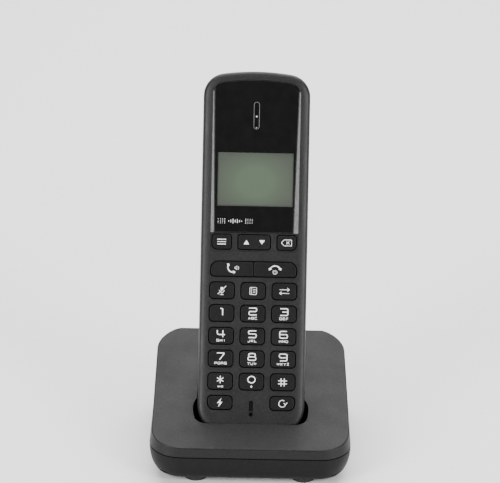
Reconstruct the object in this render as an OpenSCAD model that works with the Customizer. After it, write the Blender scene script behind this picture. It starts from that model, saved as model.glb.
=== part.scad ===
// Cordless telephone: a handset that stands in its charging base.
// X is the width, Y points to the back and Z is up. The origin lies on the desk,
// under the middle of the whole outline. All lengths are in millimetres.

/* [Base] */
// Width of the base
base_w = 88; // [85:1:90]
// Depth of the base
base_d = 82; // [80:1:88]
// Height of the deck's front edge above the desk
deck_z = 18.6; // [18.2:0.1:19.5]
// Slope of the deck, rising towards the back, in degrees
deck_slope = 12.5; // [12:0.5:14]
// Plan radius of the base's four corners
base_corner_r = 14; // [10:1:16]
// Radius of the deck's side and back edges
deck_edge_r = 1; // [0.6:0.1:1.5]
// Height of the parting line between the two base covers
parting_z = 14.2; // [14:0.1:14.8]
// Radius of the tub's lower edges
tub_edge_r = 5.5; // [4:0.5:6]
// Height of the rubber feet
foot_h = 2; // [1.5:0.5:3]
// Radius of a rubber foot
foot_r = 5; // [4:0.5:6]

/* [Cradle] */
// Backward lean of the handset, in degrees
lean = 24; // [22:0.5:26]
// Distance up the deck from its front edge to the handset's face
cradle_from_front = 17.4; // [16:0.2:19]
// Depth of the handset's face below the deck
seat_depth = 6; // [5:0.5:7]
// Clearance in front of, behind and under the handset
cradle_gap = 0.4; // [0.3:0.1:0.6]
// Clearance on each side of the handset
cradle_side_gap = 2; // [1.5:0.1:2.2]
// Radius of the cradle's two front corners
cradle_front_r = 5.8; // [4:0.2:6]

/* [Handset] */
// Length of the handset
hand_l = 160.2; // [158:0.1:163]
// Width of the handset
hand_w = 47; // [46.6:0.1:48]
// Thickness of the handset over the battery door
hand_t = 24; // [23.5:0.5:26]
// Thickness of the handset at its lower end
hand_t_end = 20; // [19:0.5:21]
// Length over which the back thickens
taper_l = 44; // [40:1:44]
// Radius of the two top corners, seen from the front
top_corner_r = 10; // [8:0.5:11]
// Radius of the arched top edge
top_arch_r = 100; // [90:10:160]
// Depth of the joint line between the two handset covers
split_d = 10.5; // [10:0.5:11]

/* [Display] */
// Width of the visible display
lcd_w = 33.2; // [30:0.2:34]
// Height of the visible display
lcd_h = 23.2; // [20:0.2:25]
// Distance from the handset's top to the visible display
lcd_from_top = 35.9; // [35:0.1:37]
// Distance from the handset's top to the lens's lower edge
lens_end = 71; // [70.2:0.1:71.2]

/* [Keys] */
// Width of a digit key
key_w = 10.4; // [9.5:0.1:10.6]
// Height of a digit key
key_h = 6.9; // [6.4:0.1:7.1]
// Distance between the centres of two key columns
column_pitch = 13.65; // [13.4:0.05:13.8]
// Distance between the centres of two key rows
row_pitch = 9.92; // [9.8:0.02:10]
// Distance from the handset's top to the centre of the first key row
first_row = 96.4; // [96.2:0.1:96.7]
// Gap between a key and its opening
key_gap = 0.45; // [0.3:0.05:0.5]
// Height of the keys above the face
key_rise = 0.4; // [0.2:0.1:0.8]

/* [Hidden] */
$fn = 64;
eps = 0.01;

// Walls
wall = 2;
hand_wall = 1.8;
face_wall = 2.4;

// Handset radii, all at its outer surface
end_r = 8;
back_top_r = 10;
back_edge_r = 8;
face_edge_r = 3;
low_corner_r = 13.5;
nose_r = 2.2;
taper_a = atan((hand_t - hand_t_end) / taper_l);
end_cd = hand_t_end - end_r / tan((90 + taper_a) / 2);
slip = 0.1;
end_slip = 0.4;
corner_x = hand_w / 2 + slip - top_corner_r;
corner_u = hand_l - top_arch_r + sqrt(pow(top_arch_r - top_corner_r, 2) - pow(corner_x, 2));

// Place of the handset's lower front edge, and of the whole model's origin
seat_y = cradle_from_front * cos(deck_slope) - seat_depth * sin(lean);
seat_z = deck_z + cradle_from_front * sin(deck_slope) - seat_depth * cos(lean);
back_y = seat_y + hand_l * sin(lean) + hand_t * cos(lean) + back_top_r * (1 - sin(lean) - cos(lean));
origin_y = back_y / 2;

// The part of the cradle in front of slot_front is wider than the handset, and ends at slot_end
slot_front = 4;
slot_end = 17;
slot_back_r = 9;
cradle_wall = 1.8;

// Base inside. The lip on the bottom cover starts lip_root below the parting line.
inner_edge_r = 0.5;
lip_root = 2;
lip_rise = 1.2;
lip_gap = 0.1;
lip_t = 1;
lip_bite = 0.5;
boss_x = 34;
boss_ys = [13, base_d - 12];
boss_r = 3.6;
boss_foot_z = 9;
screw_well_r = 4.6;
screw_well_gap = 0.3;
base_screw_r = 1.2;
base_screw_head_r = 2.8;
base_screw_head_z = 3.4;
base_screw_seat_z = 5.5;
base_screw_end_z = 15.5;
base_screw_cross = [3.2, 0.7, 1.6];
screw_slip = 0.05;
foot_x = 23.5;
foot_ys = [10, base_d - 10];
foot_recess = 0.6;
foot_slip = 0.02;
board_z = 7.5;
board_t = 1.4;
board_w = 56;
board_y0 = 50;
board_y1 = base_d - 3;
standoff_r = 2.5;
standoff_x = 24;
standoff_ys = [board_y0 + 5, board_y1 - 5];

// Sockets in the back of the base
socket_x = 15;
socket_size = [13.4, 13, 10.6];
socket_hole = [9.8, 11.5, 7];
socket_latch = [4.4, 11.5, 2];
socket_y1 = base_d - 0.5;
socket_z = board_z + board_t;
socket_floor = 1.3;
socket_gap = 0.2;

// Locator button on the deck, behind the handset
page_y = 66;
page_size = [12, 7];
page_r = 2.6;
page_gap = 0.3;
page_rise = 0.6;
page_body = 2.4;
page_flange = 0.8;
page_stem = 0.4;
page_board_n = -8.4;
page_board_size = [24, 12, 1];
page_post_x = 9;
page_post_r = 2;
page_switch_size = [6, 6, 3.2];
page_plunger_r = 1.7;
page_plunger_h = 3.8;

// Charging contacts
contact_x = 7;
contact_w = 3;
contact_d = [5.4, 9];
contact_top = -0.1;
contact_h = 4.4;
contact_gap = 0.3;
contact_foot = [0.8, 0.6];
contact_slot_z = [-4, 2];
pad_w = 5;
pad_d = [5, 9.4];
pad_t = 0.6;
pad_back = 0.05;
pad_tail = [2, 0.5, 5];
pad_tail_d = 8;

// Handset covers, and the lip that locates them on each other
face_reach = 5;
hand_lip = [1.2, 2];
hand_lip_t = 0.9;
hand_lip_root = [0.4, 0.6];
hand_post_r = 3.9;
hand_post_inset = 0.7;
grille_pitch = 2.8;
grille_slot = [16, 1.2];

// Handset inside, as depths behind the face
lens_t = 1.4;
lens_pocket = 1.5;
soft_pocket = 0.5;
lcd_d = [2.6, 4.8];
light_d = [4.8, 5.6];
mat_d = [4.7, 5.4];
dome_d = [5.4, 5.6];
pcb_d = [5.65, 6.85];
hand_boss_x = 16;
hand_boss_us = [6.5, hand_l - 12];
hand_boss_r = 2.9;
hand_screw_r = 1;
hand_screw_seat = 13;
hand_screw_start = 5;
hand_screw_head = [2.2, 1.6];
hand_screw_cross = [2.6, 0.6, 1.4];
hand_screw_well_r = 2.5;
recess_half = 19.3;
recess_top = 4;
recess_end = 79.4;
recess_low_r = 2.5;
strip_wide = [1.5, 2.1];
strip_thin = 0.4;
trim_from_top = 9;
lcd_window_margin = 1.4;
lcd_margin = [3.6, 4];
light_margin = [4.4, 5];
ear_slot = [2.6, 12.1];
ear_window = [8, 13.1];
ear_from_top = 19.65;
mic_slot = [1.75, 7.3];
mic_from_top = 147.95;
mic_hole_from_top = 150.4;
mic_hole_r = 0.8;
mic_slot_depth = 0.6;

// Keys
key_r = 1.6;
flange = 0.5;
flange_r = 0.6;
flange_d = [2.6, 3.3];
stem_r = 1.5;
stem_end = 3.8;
soft_row = 75.1;
soft_h = 6.2;
soft_r = 1;
soft_outer_r = 2.2;
nav_w = 13.8;
side_soft_w = 8.1;
side_soft_x = 14.25;
soft_rise = 0.1;
nav_body_end = 2.9;
nav_pivot_d = 2.95;
nav_pivot_r = 0.4;
nav_pivot_out = 1.1;
nav_stem_x = 4;
nav_stem_r = 1;
talk_row = 86.9;
talk_h = 6.2;
talk_w = 18.45;
talk_x = 9.375;
talk_top_r = 3.2;
talk_low_r = 1.3;
talk_inner_r = 0.3;
flash_row = 145.4;
flash_h = 5.7;
flash_outer_r = 2.6;

// Battery bay
bay_u = [49.5, 99.5];
bay_half = 11.7;
bay_wall = 1.2;
door_u = [44, 104];
door_half = 17;
door_r = 3;
door_gap = 0.2;
door_d = hand_t - 1.7;
door_rib = [1.2, 3, 6];
door_rib_x = 15;
door_rib_from_end = 24;
bay_back_d = hand_t - 1.9;
cell_r = 5.25;
cell_l = 44.5;
cell_x = 5.6;
cell_d = 17;
speaker_r = 11;
speaker_from_top = 29.7;
earpiece_r = 9.5;

// Handset electronics
pcb_w = 40;
pcb_u = [4, hand_l - 8];
pcb_top_r = 4;
pcb_low_r = 10;
shield_size = [24, 18, 2.2];
shield_from_top = 44.7;
antenna_size = [23, 0.6, 2.4];
antenna_from_top = 13;
antenna_feed = [0.8, 5, 0.6];
mat_half = 20;
mat_u = [12.2, hand_l - 70.7];
mat_notch = [10, 12];
mic_size = [3, 2.2];
contact_plate = [8, 0.3];
contact_tongue = [3, 2];

case_grey = [0.2, 0.2, 0.21];
tub_grey = [0.15, 0.15, 0.16];
key_grey = [0.13, 0.13, 0.14];
gloss_black = [0.05, 0.05, 0.06];
board_green = [0.1, 0.35, 0.2];
steel = [0.75, 0.76, 0.78];
gold = [0.85, 0.7, 0.35];

// ---------- Shared shapes ----------

// A rectangle about the origin, with radii [top left, top right, low right, low left].
// A radius of 0 leaves that corner sharp.
module plate(w, h, r) {
    corners = [[-1, 1], [1, 1], [1, -1], [-1, -1]];
    difference() {
        square([w, h], center = true);
        for (k = [0:3]) if (r[k] > 0)
            translate([corners[k].x * (w / 2 - r[k]), corners[k].y * (h / 2 - r[k])])
                difference() {
                    translate([corners[k].x * r[k], corners[k].y * r[k]])
                        square(2 * r[k], center = true);
                    circle(r[k]);
                }
    }
}

module even_plate(w, h, r) {
    plate(w, h, [r, r, r, r]);
}

// The base's own coordinates: y = 0 at the front of the base
module in_base() {
    translate([0, -origin_y, 0]) children();
}

// The deck's coordinates: y runs up the slope from the front edge, z is the deck's normal
module on_deck() {
    in_base() translate([0, 0, deck_z]) rotate([deck_slope, 0, 0]) children();
}

// The handset's coordinates: y is the depth behind its face, z runs up from its lower end
module in_handset() {
    in_base() translate([0, seat_y, seat_z]) rotate([-lean, 0, 0]) children();
}

// Extrudes an outline drawn as (x, z) between two depths
module facing(d0, d1) {
    translate([0, d1, 0]) rotate([90, 0, 0]) linear_extrude(d1 - d0) children();
}

// Extrudes a profile drawn as (y, z) over a width, centred on x = 0
module sideways(w) {
    translate([-w / 2, 0, 0]) rotate([90, 0, 90]) linear_extrude(w) children();
}

function from_top(s) = hand_l - s;

// ---------- Base covers ----------

module base_plan(i) {
    translate([0, base_d / 2]) even_plate(base_w - 2 * i, base_d - 2 * i, base_corner_r - i);
}

// The side view of the base, with its back edge rounded under the sloping deck
module base_side(i) {
    r = max(deck_edge_r - i, inner_edge_r);
    yc = base_d - i - r;
    zc = deck_z + yc * tan(deck_slope) - (i + r) / cos(deck_slope);
    polygon([[-5, 0], [base_d - i, 0], [base_d - i, zc], [yc, zc],
        [yc - r * sin(deck_slope), zc + r * cos(deck_slope)],
        [-5, deck_z - 5 * tan(deck_slope) - i / cos(deck_slope)]]);
    translate([yc, zc]) circle(r);
}

// The whole upper body, inset by i on every side
module base_block(i) {
    reach = 2 * base_d;
    intersection() {
        in_base() linear_extrude(reach) base_plan(i);
        on_deck() translate([0, 1.5 * base_d, -base_w / 2]) rotate([90, 0, 0])
            linear_extrude(reach) plate(base_w - 2 * i, base_w - 2 * i,
                [deck_edge_r - i, deck_edge_r - i, 0, 0]);
        in_base() sideways(base_w) base_side(i);
    }
}

// The tub below the parting line, with rounded lower edges
module tub_block(i) {
    h = 4 * parting_z;
    mid = foot_h + h / 2;
    r = tub_edge_r - i;
    in_base() intersection() {
        translate([0, 0, foot_h]) linear_extrude(parting_z - foot_h + i) base_plan(i);
        facing(0, base_d) translate([0, mid]) even_plate(base_w - 2 * i, h - 2 * i, r);
        sideways(base_w) translate([base_d / 2, mid]) even_plate(base_d - 2 * i, h - 2 * i, r);
    }
}

module at_base_bosses() {
    in_base() for (x = [-boss_x, boss_x], y = boss_ys) translate([x, y, 0]) children();
}

module at_feet() {
    in_base() for (x = [-foot_x, foot_x], y = foot_ys) translate([x, y, 0]) children();
}

module socket_windows() {
    in_base() for (x = [-socket_x, socket_x])
        translate([x - socket_size.x / 2 - socket_gap, board_y1 - 1, socket_z - socket_gap])
            cube([socket_size.x + 2 * socket_gap, 2 * wall + 2, socket_size.z + 2 * socket_gap]);
}

// A ring inside the tub's wall, which starts lip_root below the parting line
module base_lip(outer_inset, h) {
    in_base() translate([0, 0, parting_z - lip_root]) linear_extrude(h) difference() {
        base_plan(outer_inset);
        base_plan(wall + lip_gap + lip_t);
    }
}

module base_bottom_cover() {
    color(tub_grey) difference() {
        union() {
            difference() {
                tub_block(0);
                tub_block(wall);
            }
            base_lip(wall + lip_gap, lip_root + lip_rise);
            base_lip(wall - lip_bite, lip_root);
            at_base_bosses() translate([0, 0, foot_h + 1])
                cylinder(r = screw_well_r, h = boss_foot_z - foot_h - 1);
            in_base() for (x = [-standoff_x, standoff_x], y = standoff_ys)
                translate([x, y, foot_h + 1]) cylinder(r = standoff_r, h = board_z - foot_h - 1);
        }
        at_base_bosses() translate([0, 0, -1])
            cylinder(r = base_screw_head_r + screw_well_gap, h = base_screw_seat_z + 1);
        at_base_bosses() cylinder(r = base_screw_r + screw_well_gap, h = boss_foot_z + 1);
        at_feet() translate([0, 0, foot_h - 1]) cylinder(r = foot_r, h = foot_recess + 1);
        socket_windows();
    }
}

// The cradle seen along the handset: a close fit behind, with a wider slot on each side in front
module cradle_section(grow) {
    gap = cradle_gap + grow;
    side_gap = cradle_side_gap + grow;
    back_r = back_edge_r + gap;
    bow_r = slot_back_r + grow;
    nose = cradle_front_r + grow;
    translate([0, (hand_t + gap + slot_front) / 2])
        plate(hand_w + 2 * gap, hand_t + gap - slot_front, [back_r, back_r, 0, 0]);
    translate([0, (slot_end + grow - gap) / 2])
        plate(hand_w + 2 * side_gap, slot_end + grow + gap, [bow_r, bow_r, nose, nose]);
}

// The pocket that the handset stands in, grown on every side
module cradle_space(grow) {
    in_handset() intersection() {
        translate([0, 0, -face_reach]) linear_extrude(hand_l + 2 * face_reach) cradle_section(grow);
        facing(-face_reach, hand_t + face_reach) handset_outline(-cradle_side_gap - grow);
        sideways(hand_w + 2 * face_reach) handset_profile(-cradle_gap - grow);
    }
}

module base_top_cover() {
    color(case_grey) difference() {
        union() {
            difference() {
                base_block(0);
                base_block(wall);
            }
            intersection() {
                base_block(0);
                cradle_space(cradle_wall);
            }
            intersection() {
                base_block(0);
                at_base_bosses() translate([0, 0, boss_foot_z]) cylinder(r = boss_r, h = base_d);
            }
            on_deck() for (x = [-page_post_x, page_post_x]) translate([x, page_y, page_board_n])
                cylinder(r = page_post_r, h = -page_board_n - wall / 2);
        }
        in_base() translate([-base_w, -base_d, -eps]) difference() {
            cube([2 * base_w, 3 * base_d, parting_z + eps]);
            translate([base_w, base_d, 0]) linear_extrude(parting_z + 1)
                base_plan(wall + 2 * lip_gap + lip_t);
        }
        cradle_space(0);
        at_base_bosses() translate([0, 0, boss_foot_z - 1])
            cylinder(r = base_screw_r + screw_slip, h = base_screw_end_z - boss_foot_z + 2);
        on_deck() translate([0, page_y, -wall - 1]) linear_extrude(2 * wall + 2)
            even_plate(page_size.x + 2 * page_gap, page_size.y + 2 * page_gap, page_r + page_gap);
        in_handset() for (x = [-contact_x, contact_x])
            translate([x - contact_w / 2 - contact_gap, contact_d[0] - contact_gap, contact_slot_z[0]])
                cube([contact_w + 2 * contact_gap, contact_d[1] - contact_d[0] + 2 * contact_gap,
                    contact_slot_z[1] - contact_slot_z[0]]);
        socket_windows();
    }
}

module base_feet() {
    color(gloss_black) at_feet() cylinder(r = foot_r - foot_slip, h = foot_h + foot_recess);
}

module base_screws() {
    color(steel) at_base_bosses() {
        difference() {
            translate([0, 0, base_screw_head_z])
                cylinder(r = base_screw_head_r, h = base_screw_seat_z - base_screw_head_z);
            for (turn = [0, 90])
                translate([0, 0, base_screw_head_z]) rotate(turn) cube(base_screw_cross, center = true);
        }
        translate([0, 0, base_screw_seat_z])
            cylinder(r = base_screw_r, h = base_screw_end_z - base_screw_seat_z);
    }
}

// ---------- Base electronics ----------

module base_pcb() {
    color(board_green) in_base() translate([-board_w / 2, board_y0, board_z])
        cube([board_w, board_y1 - board_y0, board_t]);
}

module base_rf_shield() {
    can = [22, 14, 3];
    can_wall = 0.3;
    color(steel) in_base() translate([-can.x / 2, board_y0 + 2, socket_z]) difference() {
        cube(can);
        translate([can_wall, can_wall, -eps])
            cube([can.x - 2 * can_wall, can.y - 2 * can_wall, can.z - can_wall]);
    }
}

// A bent wire that stands on the board's front corner
module base_antenna() {
    wire_r = 0.5;
    rise = 10;
    run = 22;
    color(gold) in_base() translate([board_w / 2 - 3, board_y0 + 2, socket_z]) {
        cylinder(r = wire_r, h = rise);
        translate([0, 0, rise]) sphere(wire_r);
        translate([0, 0, rise]) rotate([-90, 0, 0]) cylinder(r = wire_r, h = run);
    }
}

// A six-position modular socket that opens to the back
module modular_socket(x) {
    color(gloss_black) in_base() translate([x, socket_y1, socket_z]) difference() {
        translate([-socket_size.x / 2, -socket_size.y, 0]) cube(socket_size);
        translate([-socket_hole.x / 2, -socket_hole.y, socket_floor])
            cube([socket_hole.x, socket_hole.y + 1, socket_hole.z]);
        translate([-socket_latch.x / 2, -socket_latch.y, socket_floor + socket_hole.z - 1])
            cube([socket_latch.x, socket_latch.y + 1, socket_latch.z]);
    }
}

module line_socket() {
    modular_socket(-socket_x);
}

module power_socket() {
    modular_socket(socket_x);
}

module page_button() {
    color(key_grey) on_deck() translate([0, page_y, 0]) {
        translate([0, 0, -page_body - eps]) linear_extrude(page_body + page_rise)
            even_plate(page_size.x, page_size.y, page_r);
        translate([0, 0, -page_body - page_flange]) linear_extrude(page_flange)
            even_plate(page_size.x + 2 * page_flange, page_size.y + 2 * page_flange, page_r);
        translate([0, 0, -page_body - page_flange - page_stem]) cylinder(r = stem_r, h = page_stem + 0.1);
    }
}

module page_board() {
    color(board_green) on_deck() translate([0, page_y, page_board_n - page_board_size.z])
        linear_extrude(page_board_size.z) even_plate(page_board_size.x, page_board_size.y, 1);
}

module page_switch() {
    color(steel) on_deck() translate([0, page_y, page_board_n]) {
        translate([-page_switch_size.x / 2, -page_switch_size.y / 2, 0]) cube(page_switch_size);
        cylinder(r = page_plunger_r, h = page_plunger_h);
    }
}

// ---------- Charging contacts ----------

module charge_contact(x) {
    mid_d = (contact_d[0] + contact_d[1]) / 2;
    span_d = contact_d[1] - contact_d[0];
    flange_w = 2 * contact_foot[0];
    color(gold) in_handset() translate([x, mid_d, 0]) {
        intersection() {
            translate([-contact_w / 2, -span_d / 2, -contact_h])
                cube([contact_w, span_d, contact_h + contact_top]);
            translate([-contact_w, 0, contact_top - span_d]) rotate([0, 90, 0])
                cylinder(r = span_d, h = 2 * contact_w);
        }
        translate([-(contact_w + flange_w) / 2, -(span_d + flange_w) / 2, -contact_h - 0.2])
            cube([contact_w + flange_w, span_d + flange_w, contact_foot[1]]);
    }
}

module charge_contact_left() {
    charge_contact(-contact_x);
}

module charge_contact_right() {
    charge_contact(contact_x);
}

module charge_pads() {
    color(steel) in_handset() for (x = [-contact_x, contact_x]) translate([x, 0, 0]) {
        translate([-pad_w / 2, pad_d[0], pad_back]) cube([pad_w, pad_d[1] - pad_d[0], pad_t - pad_back]);
        translate([-pad_tail.x / 2, pad_tail_d, pad_t - eps]) cube(pad_tail);
    }
}

// ---------- Handset covers ----------

// The front view of the handset, inset by i. Its sides stand a little wide of the body,
// so that handset_block's section sets the width.
module handset_outline(i) {
    half = corner_x + top_corner_r - i;
    low = i - end_slip;
    blend_x = corner_x * top_arch_r / (top_arch_r - top_corner_r);
    translate([0, (corner_u + low) / 2])
        plate(2 * half, corner_u - low, [0, 0, low_corner_r - i, low_corner_r - i]);
    for (x = [-1, 1]) translate([x * corner_x, corner_u]) circle(top_corner_r - i);
    intersection() {
        translate([0, hand_l - top_arch_r]) circle(top_arch_r - i, $fn = 180);
        translate([-blend_x, corner_u - 1]) square([2 * blend_x, top_corner_r + 2]);
    }
}

// The side view of the handset as (depth, height), inset by i. It stands clear of the flat
// front and back, and shapes only the two ends and the taper of the back.
module handset_profile(i) {
    out = 3;
    top = hand_l + end_slip;
    polygon([[nose_r + i, i], [end_cd, i],
        [end_cd + (end_r - i) * cos(taper_a), end_r - (end_r - i) * sin(taper_a)],
        [hand_t - i + out, taper_l + out / tan(taper_a)], [hand_t - i + out, top - back_top_r],
        [hand_t - back_top_r, top - back_top_r], [hand_t - back_top_r, top - i],
        [nose_r + i, top - i], [i - out, top - i - nose_r - out], [i - out, i + nose_r + out]]);
    translate([end_cd, end_r]) circle(end_r - i);
    translate([hand_t - back_top_r + slip, top - back_top_r]) circle(back_top_r - i);
}

// The handset's body, inset by i in profile and by j in width, with front edges of radius edge_f
module handset_block(i, j, edge_f = 0) {
    intersection() {
        translate([0, hand_t / 2, -face_reach]) linear_extrude(hand_l + 2 * face_reach)
            plate(hand_w - 2 * j, hand_t - 2 * i, [back_edge_r - i, back_edge_r - i, edge_f, edge_f]);
        facing(-face_reach, hand_t + face_reach) handset_outline(j);
        sideways(hand_w + 2 * face_reach) handset_profile(i);
    }
}

// The pocket in the face that holds the lens and the three soft keys
module recess_outline(i) {
    side = hand_w / 2 - recess_half;
    width = 2 * (recess_half - i);
    intersection() {
        translate([0, side - recess_top]) handset_outline(side + i);
        translate([0, from_top(recess_end) + i + hand_l / 2])
            plate(width, hand_l, [0, 0, recess_low_r, recess_low_r]);
    }
}

module lens_area(i) {
    intersection() {
        recess_outline(i);
        translate([-hand_w, from_top(lens_end) - eps]) square([2 * hand_w, lens_end]);
    }
}

module at_hand_bosses() {
    for (x = [-hand_boss_x, hand_boss_x], u = hand_boss_us)
        translate([x, 0, u]) rotate([-90, 0, 0]) children();
}

// Every key: [name, x, distance from the top, width, height, radii]
key_radii = [key_r, key_r, key_r, key_r];
soft_radii = [soft_r, soft_r, soft_r, soft_r];
function digit(name, column, row) =
    [name, column * column_pitch, first_row + row * row_pitch, key_w, key_h, key_radii];
KEYS = [
    ["menu", -side_soft_x, soft_row, side_soft_w, soft_h, [soft_r, soft_r, soft_r, soft_outer_r]],
    ["nav", 0, soft_row, nav_w, soft_h, soft_radii],
    ["delete", side_soft_x, soft_row, side_soft_w, soft_h, [soft_r, soft_r, soft_outer_r, soft_r]],
    ["talk", -talk_x, talk_row, talk_w, talk_h, [talk_top_r, talk_inner_r, talk_inner_r, talk_low_r]],
    ["end", talk_x, talk_row, talk_w, talk_h, [talk_inner_r, talk_top_r, talk_low_r, talk_inner_r]],
    digit("mute", -1, 0), digit("memory", 0, 0), digit("intercom", 1, 0),
    digit("1", -1, 1), digit("2", 0, 1), digit("3", 1, 1),
    digit("4", -1, 2), digit("5", 0, 2), digit("6", 1, 2),
    digit("7", -1, 3), digit("8", 0, 3), digit("9", 1, 3),
    digit("star", -1, 4), digit("0", 0, 4), digit("hash", 1, 4),
    ["flash", -column_pitch, flash_row, key_w, flash_h, [key_r, key_r, key_r, flash_outer_r]],
    ["redial", column_pitch, flash_row, key_w, flash_h, [key_r, key_r, flash_outer_r, key_r]]];

function key_row(name) = [for (k = KEYS) if (k[0] == name) k][0];

module key_openings() {
    grow = 2 * key_gap;
    for (k = KEYS) if (k[0] != "talk" && k[0] != "end")
        facing(-1, face_wall + 1) translate([k[1], from_top(k[2])])
            plate(k[3] + grow, k[4] + grow, [for (r = k[5]) r + key_gap]);
    facing(-1, face_wall + 1) translate([0, from_top(talk_row)])
        plate(2 * (talk_x + talk_w / 2) + grow, talk_h + grow,
            [for (r = [talk_top_r, talk_top_r, talk_low_r, talk_low_r]) r + key_gap]);
}

module handset_front_cover() {
    color(case_grey) in_handset() difference() {
        union() {
            difference() {
                intersection() {
                    handset_block(0, 0, face_edge_r);
                    front_half();
                }
                intersection() {
                    handset_block(hand_wall, hand_wall);
                    translate([-hand_w, face_wall, -face_reach])
                        cube([2 * hand_w, hand_t, hand_l + 2 * face_reach]);
                }
            }
            at_hand_bosses() translate([0, 0, face_wall - slip])
                cylinder(r = hand_boss_r, h = split_d - face_wall + slip);
        }
        facing(-1, soft_pocket) recess_outline(0);
        facing(-1, lens_pocket) lens_area(0);
        facing(-1, face_wall + 1) translate([0, from_top(lcd_from_top + lcd_h / 2)])
            square([lcd_w + lcd_window_margin, lcd_h + lcd_window_margin], center = true);
        facing(-1, face_wall + 1) translate([0, from_top(ear_from_top)])
            even_plate(ear_window.x, ear_window.y, 3);
        key_openings();
        facing(-1, mic_slot_depth) translate([0, from_top(mic_from_top)])
            even_plate(mic_slot.x, mic_slot.y, mic_slot.x / 2 - eps);
        translate([0, -1, from_top(mic_hole_from_top)]) rotate([-90, 0, 0])
            cylinder(r = mic_hole_r, h = face_wall + 2);
        at_hand_bosses() translate([0, 0, hand_screw_start - 1])
            cylinder(r = hand_screw_r + screw_slip, h = split_d);
        for (x = [-contact_x, contact_x]) {
            translate([x - pad_w / 2, pad_d[0], -1]) cube([pad_w, pad_d[1] - pad_d[0], pad_t + 1]);
            translate([x - pad_tail.x / 2, pad_tail_d, -1]) cube([pad_tail.x, pad_tail.y, wall + 2]);
        }
    }
}

// The front view of the lip that locates the two handset covers
module cover_lip(i) {
    intersection() {
        handset_outline(i);
        translate([0, hand_l / 2]) even_plate(hand_w - 2 * i, hand_l - 2 * i, end_r - i);
    }
}

module door_outline(i) {
    translate([0, (door_u[0] + door_u[1]) / 2])
        even_plate(2 * (door_half - i), door_u[1] - door_u[0] - 2 * i, door_r - i);
}

// Half of the handset's space, in front of or behind the joint line
module front_half() {
    translate([-hand_w, -hand_t, -hand_l]) cube([2 * hand_w, hand_t + split_d, 3 * hand_l]);
}

module handset_rear_cover() {
    bay_mid = (bay_u[0] + bay_u[1]) / 2;
    bay_l = bay_u[1] - bay_u[0];
    color(case_grey) in_handset() difference() {
        union() {
            difference() {
                handset_block(0, 0, face_edge_r);
                handset_block(hand_wall, hand_wall);
                front_half();
            }
            facing(split_d - hand_lip[0], split_d + hand_lip[1]) difference() {
                cover_lip(hand_wall + slip);
                cover_lip(hand_wall + slip + hand_lip_t);
            }
            facing(split_d + hand_lip_root[0], split_d + hand_lip[1]) difference() {
                cover_lip(hand_wall - hand_lip_root[1]);
                cover_lip(hand_wall + hand_lip_root[1]);
            }
            facing(split_d, bay_back_d) translate([0, bay_mid])
                square([2 * (bay_half + bay_wall), bay_l + 2 * bay_wall], center = true);
            intersection() {
                union() {
                    at_hand_bosses() translate([0, 0, split_d])
                        cylinder(r = hand_post_r, h = hand_t - split_d);
                    facing(split_d, bay_back_d) for (u = [bay_u[0] - bay_wall / 2, bay_u[1] + bay_wall / 2])
                        translate([0, u]) square([2 * hand_w, bay_wall], center = true);
                }
                handset_block(hand_post_inset, hand_post_inset);
            }
        }
        facing(split_d + 1, hand_t + 1) translate([0, bay_mid]) square([2 * bay_half, bay_l], center = true);
        facing(door_d - slip, hand_t + 1) door_outline(0);
        at_hand_bosses() translate([0, 0, split_d - 2])
            cylinder(r = hand_screw_r + screw_well_gap, h = hand_screw_seat - split_d + 3);
        at_hand_bosses() translate([0, 0, hand_screw_seat]) cylinder(r = hand_screw_well_r, h = hand_t);
        for (k = [-2:2])
            facing(hand_t - hand_wall - 1, hand_t + 1)
                translate([0, from_top(speaker_from_top) + grille_pitch * k])
                    even_plate(grille_slot.x - 2 * abs(k), grille_slot.y, grille_slot.y / 2 - eps);
    }
}

module battery_door() {
    color(case_grey) in_handset() {
        intersection() {
            handset_block(0, 0, face_edge_r);
            facing(door_d, hand_t + 1) door_outline(door_gap);
        }
        for (x = [-1, 1])
            translate([x * door_rib_x - door_rib.x / 2, door_d - door_rib.y, door_u[1] - door_rib_from_end])
                cube([door_rib.x, door_rib.y + eps, door_rib.z]);
    }
}

// ---------- Display ----------

// The flat lens narrows a little towards its lower edge, more on its right than on its left
module lens_taper(i) {
    top_half = recess_half - strip_thin - i;
    polygon([[-top_half, hand_l], [top_half, hand_l],
        [recess_half - strip_wide[1] - i, from_top(lens_end)],
        [i + strip_wide[0] - recess_half, from_top(lens_end)]]);
}

module display_lens() {
    color(gloss_black) in_handset() facing(0.05, lens_t) difference() {
        intersection() {
            lens_area(0.1);
            lens_taper(0.1);
        }
        translate([0, from_top(ear_from_top)]) even_plate(ear_slot.x, ear_slot.y, ear_slot.x / 2 - eps);
    }
}

module lens_trim() {
    color(steel) in_handset() facing(0.05, lens_t - 0.2) difference() {
        intersection() {
            lens_area(0.1);
            translate([-hand_w, from_top(lens_end)]) square([2 * hand_w, lens_end - trim_from_top]);
        }
        lens_taper(0.02);
    }
}

module lcd_panel() {
    color([0.55, 0.6, 0.52]) in_handset() facing(lcd_d[0], lcd_d[1])
        translate([0, from_top(lcd_from_top + lcd_h / 2)]) 
            square([lcd_w + lcd_margin.x, lcd_h + lcd_margin.y], center = true);
}

module lcd_backlight() {
    color([0.9, 0.9, 0.88]) in_handset() facing(light_d[0], light_d[1])
        translate([0, from_top(lcd_from_top + lcd_h / 2)]) 
            square([lcd_w + light_margin.x, lcd_h + light_margin.y], center = true);
}

// ---------- Handset electronics ----------

module handset_pcb() {
    color(board_green) in_handset() difference() {
        facing(pcb_d[0], pcb_d[1]) translate([0, (pcb_u[0] + pcb_u[1]) / 2])
            plate(pcb_w, pcb_u[1] - pcb_u[0], [pcb_top_r, pcb_top_r, pcb_low_r, pcb_low_r]);
        at_hand_bosses() cylinder(r = hand_boss_r + screw_well_gap, h = split_d);
    }
}

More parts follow.
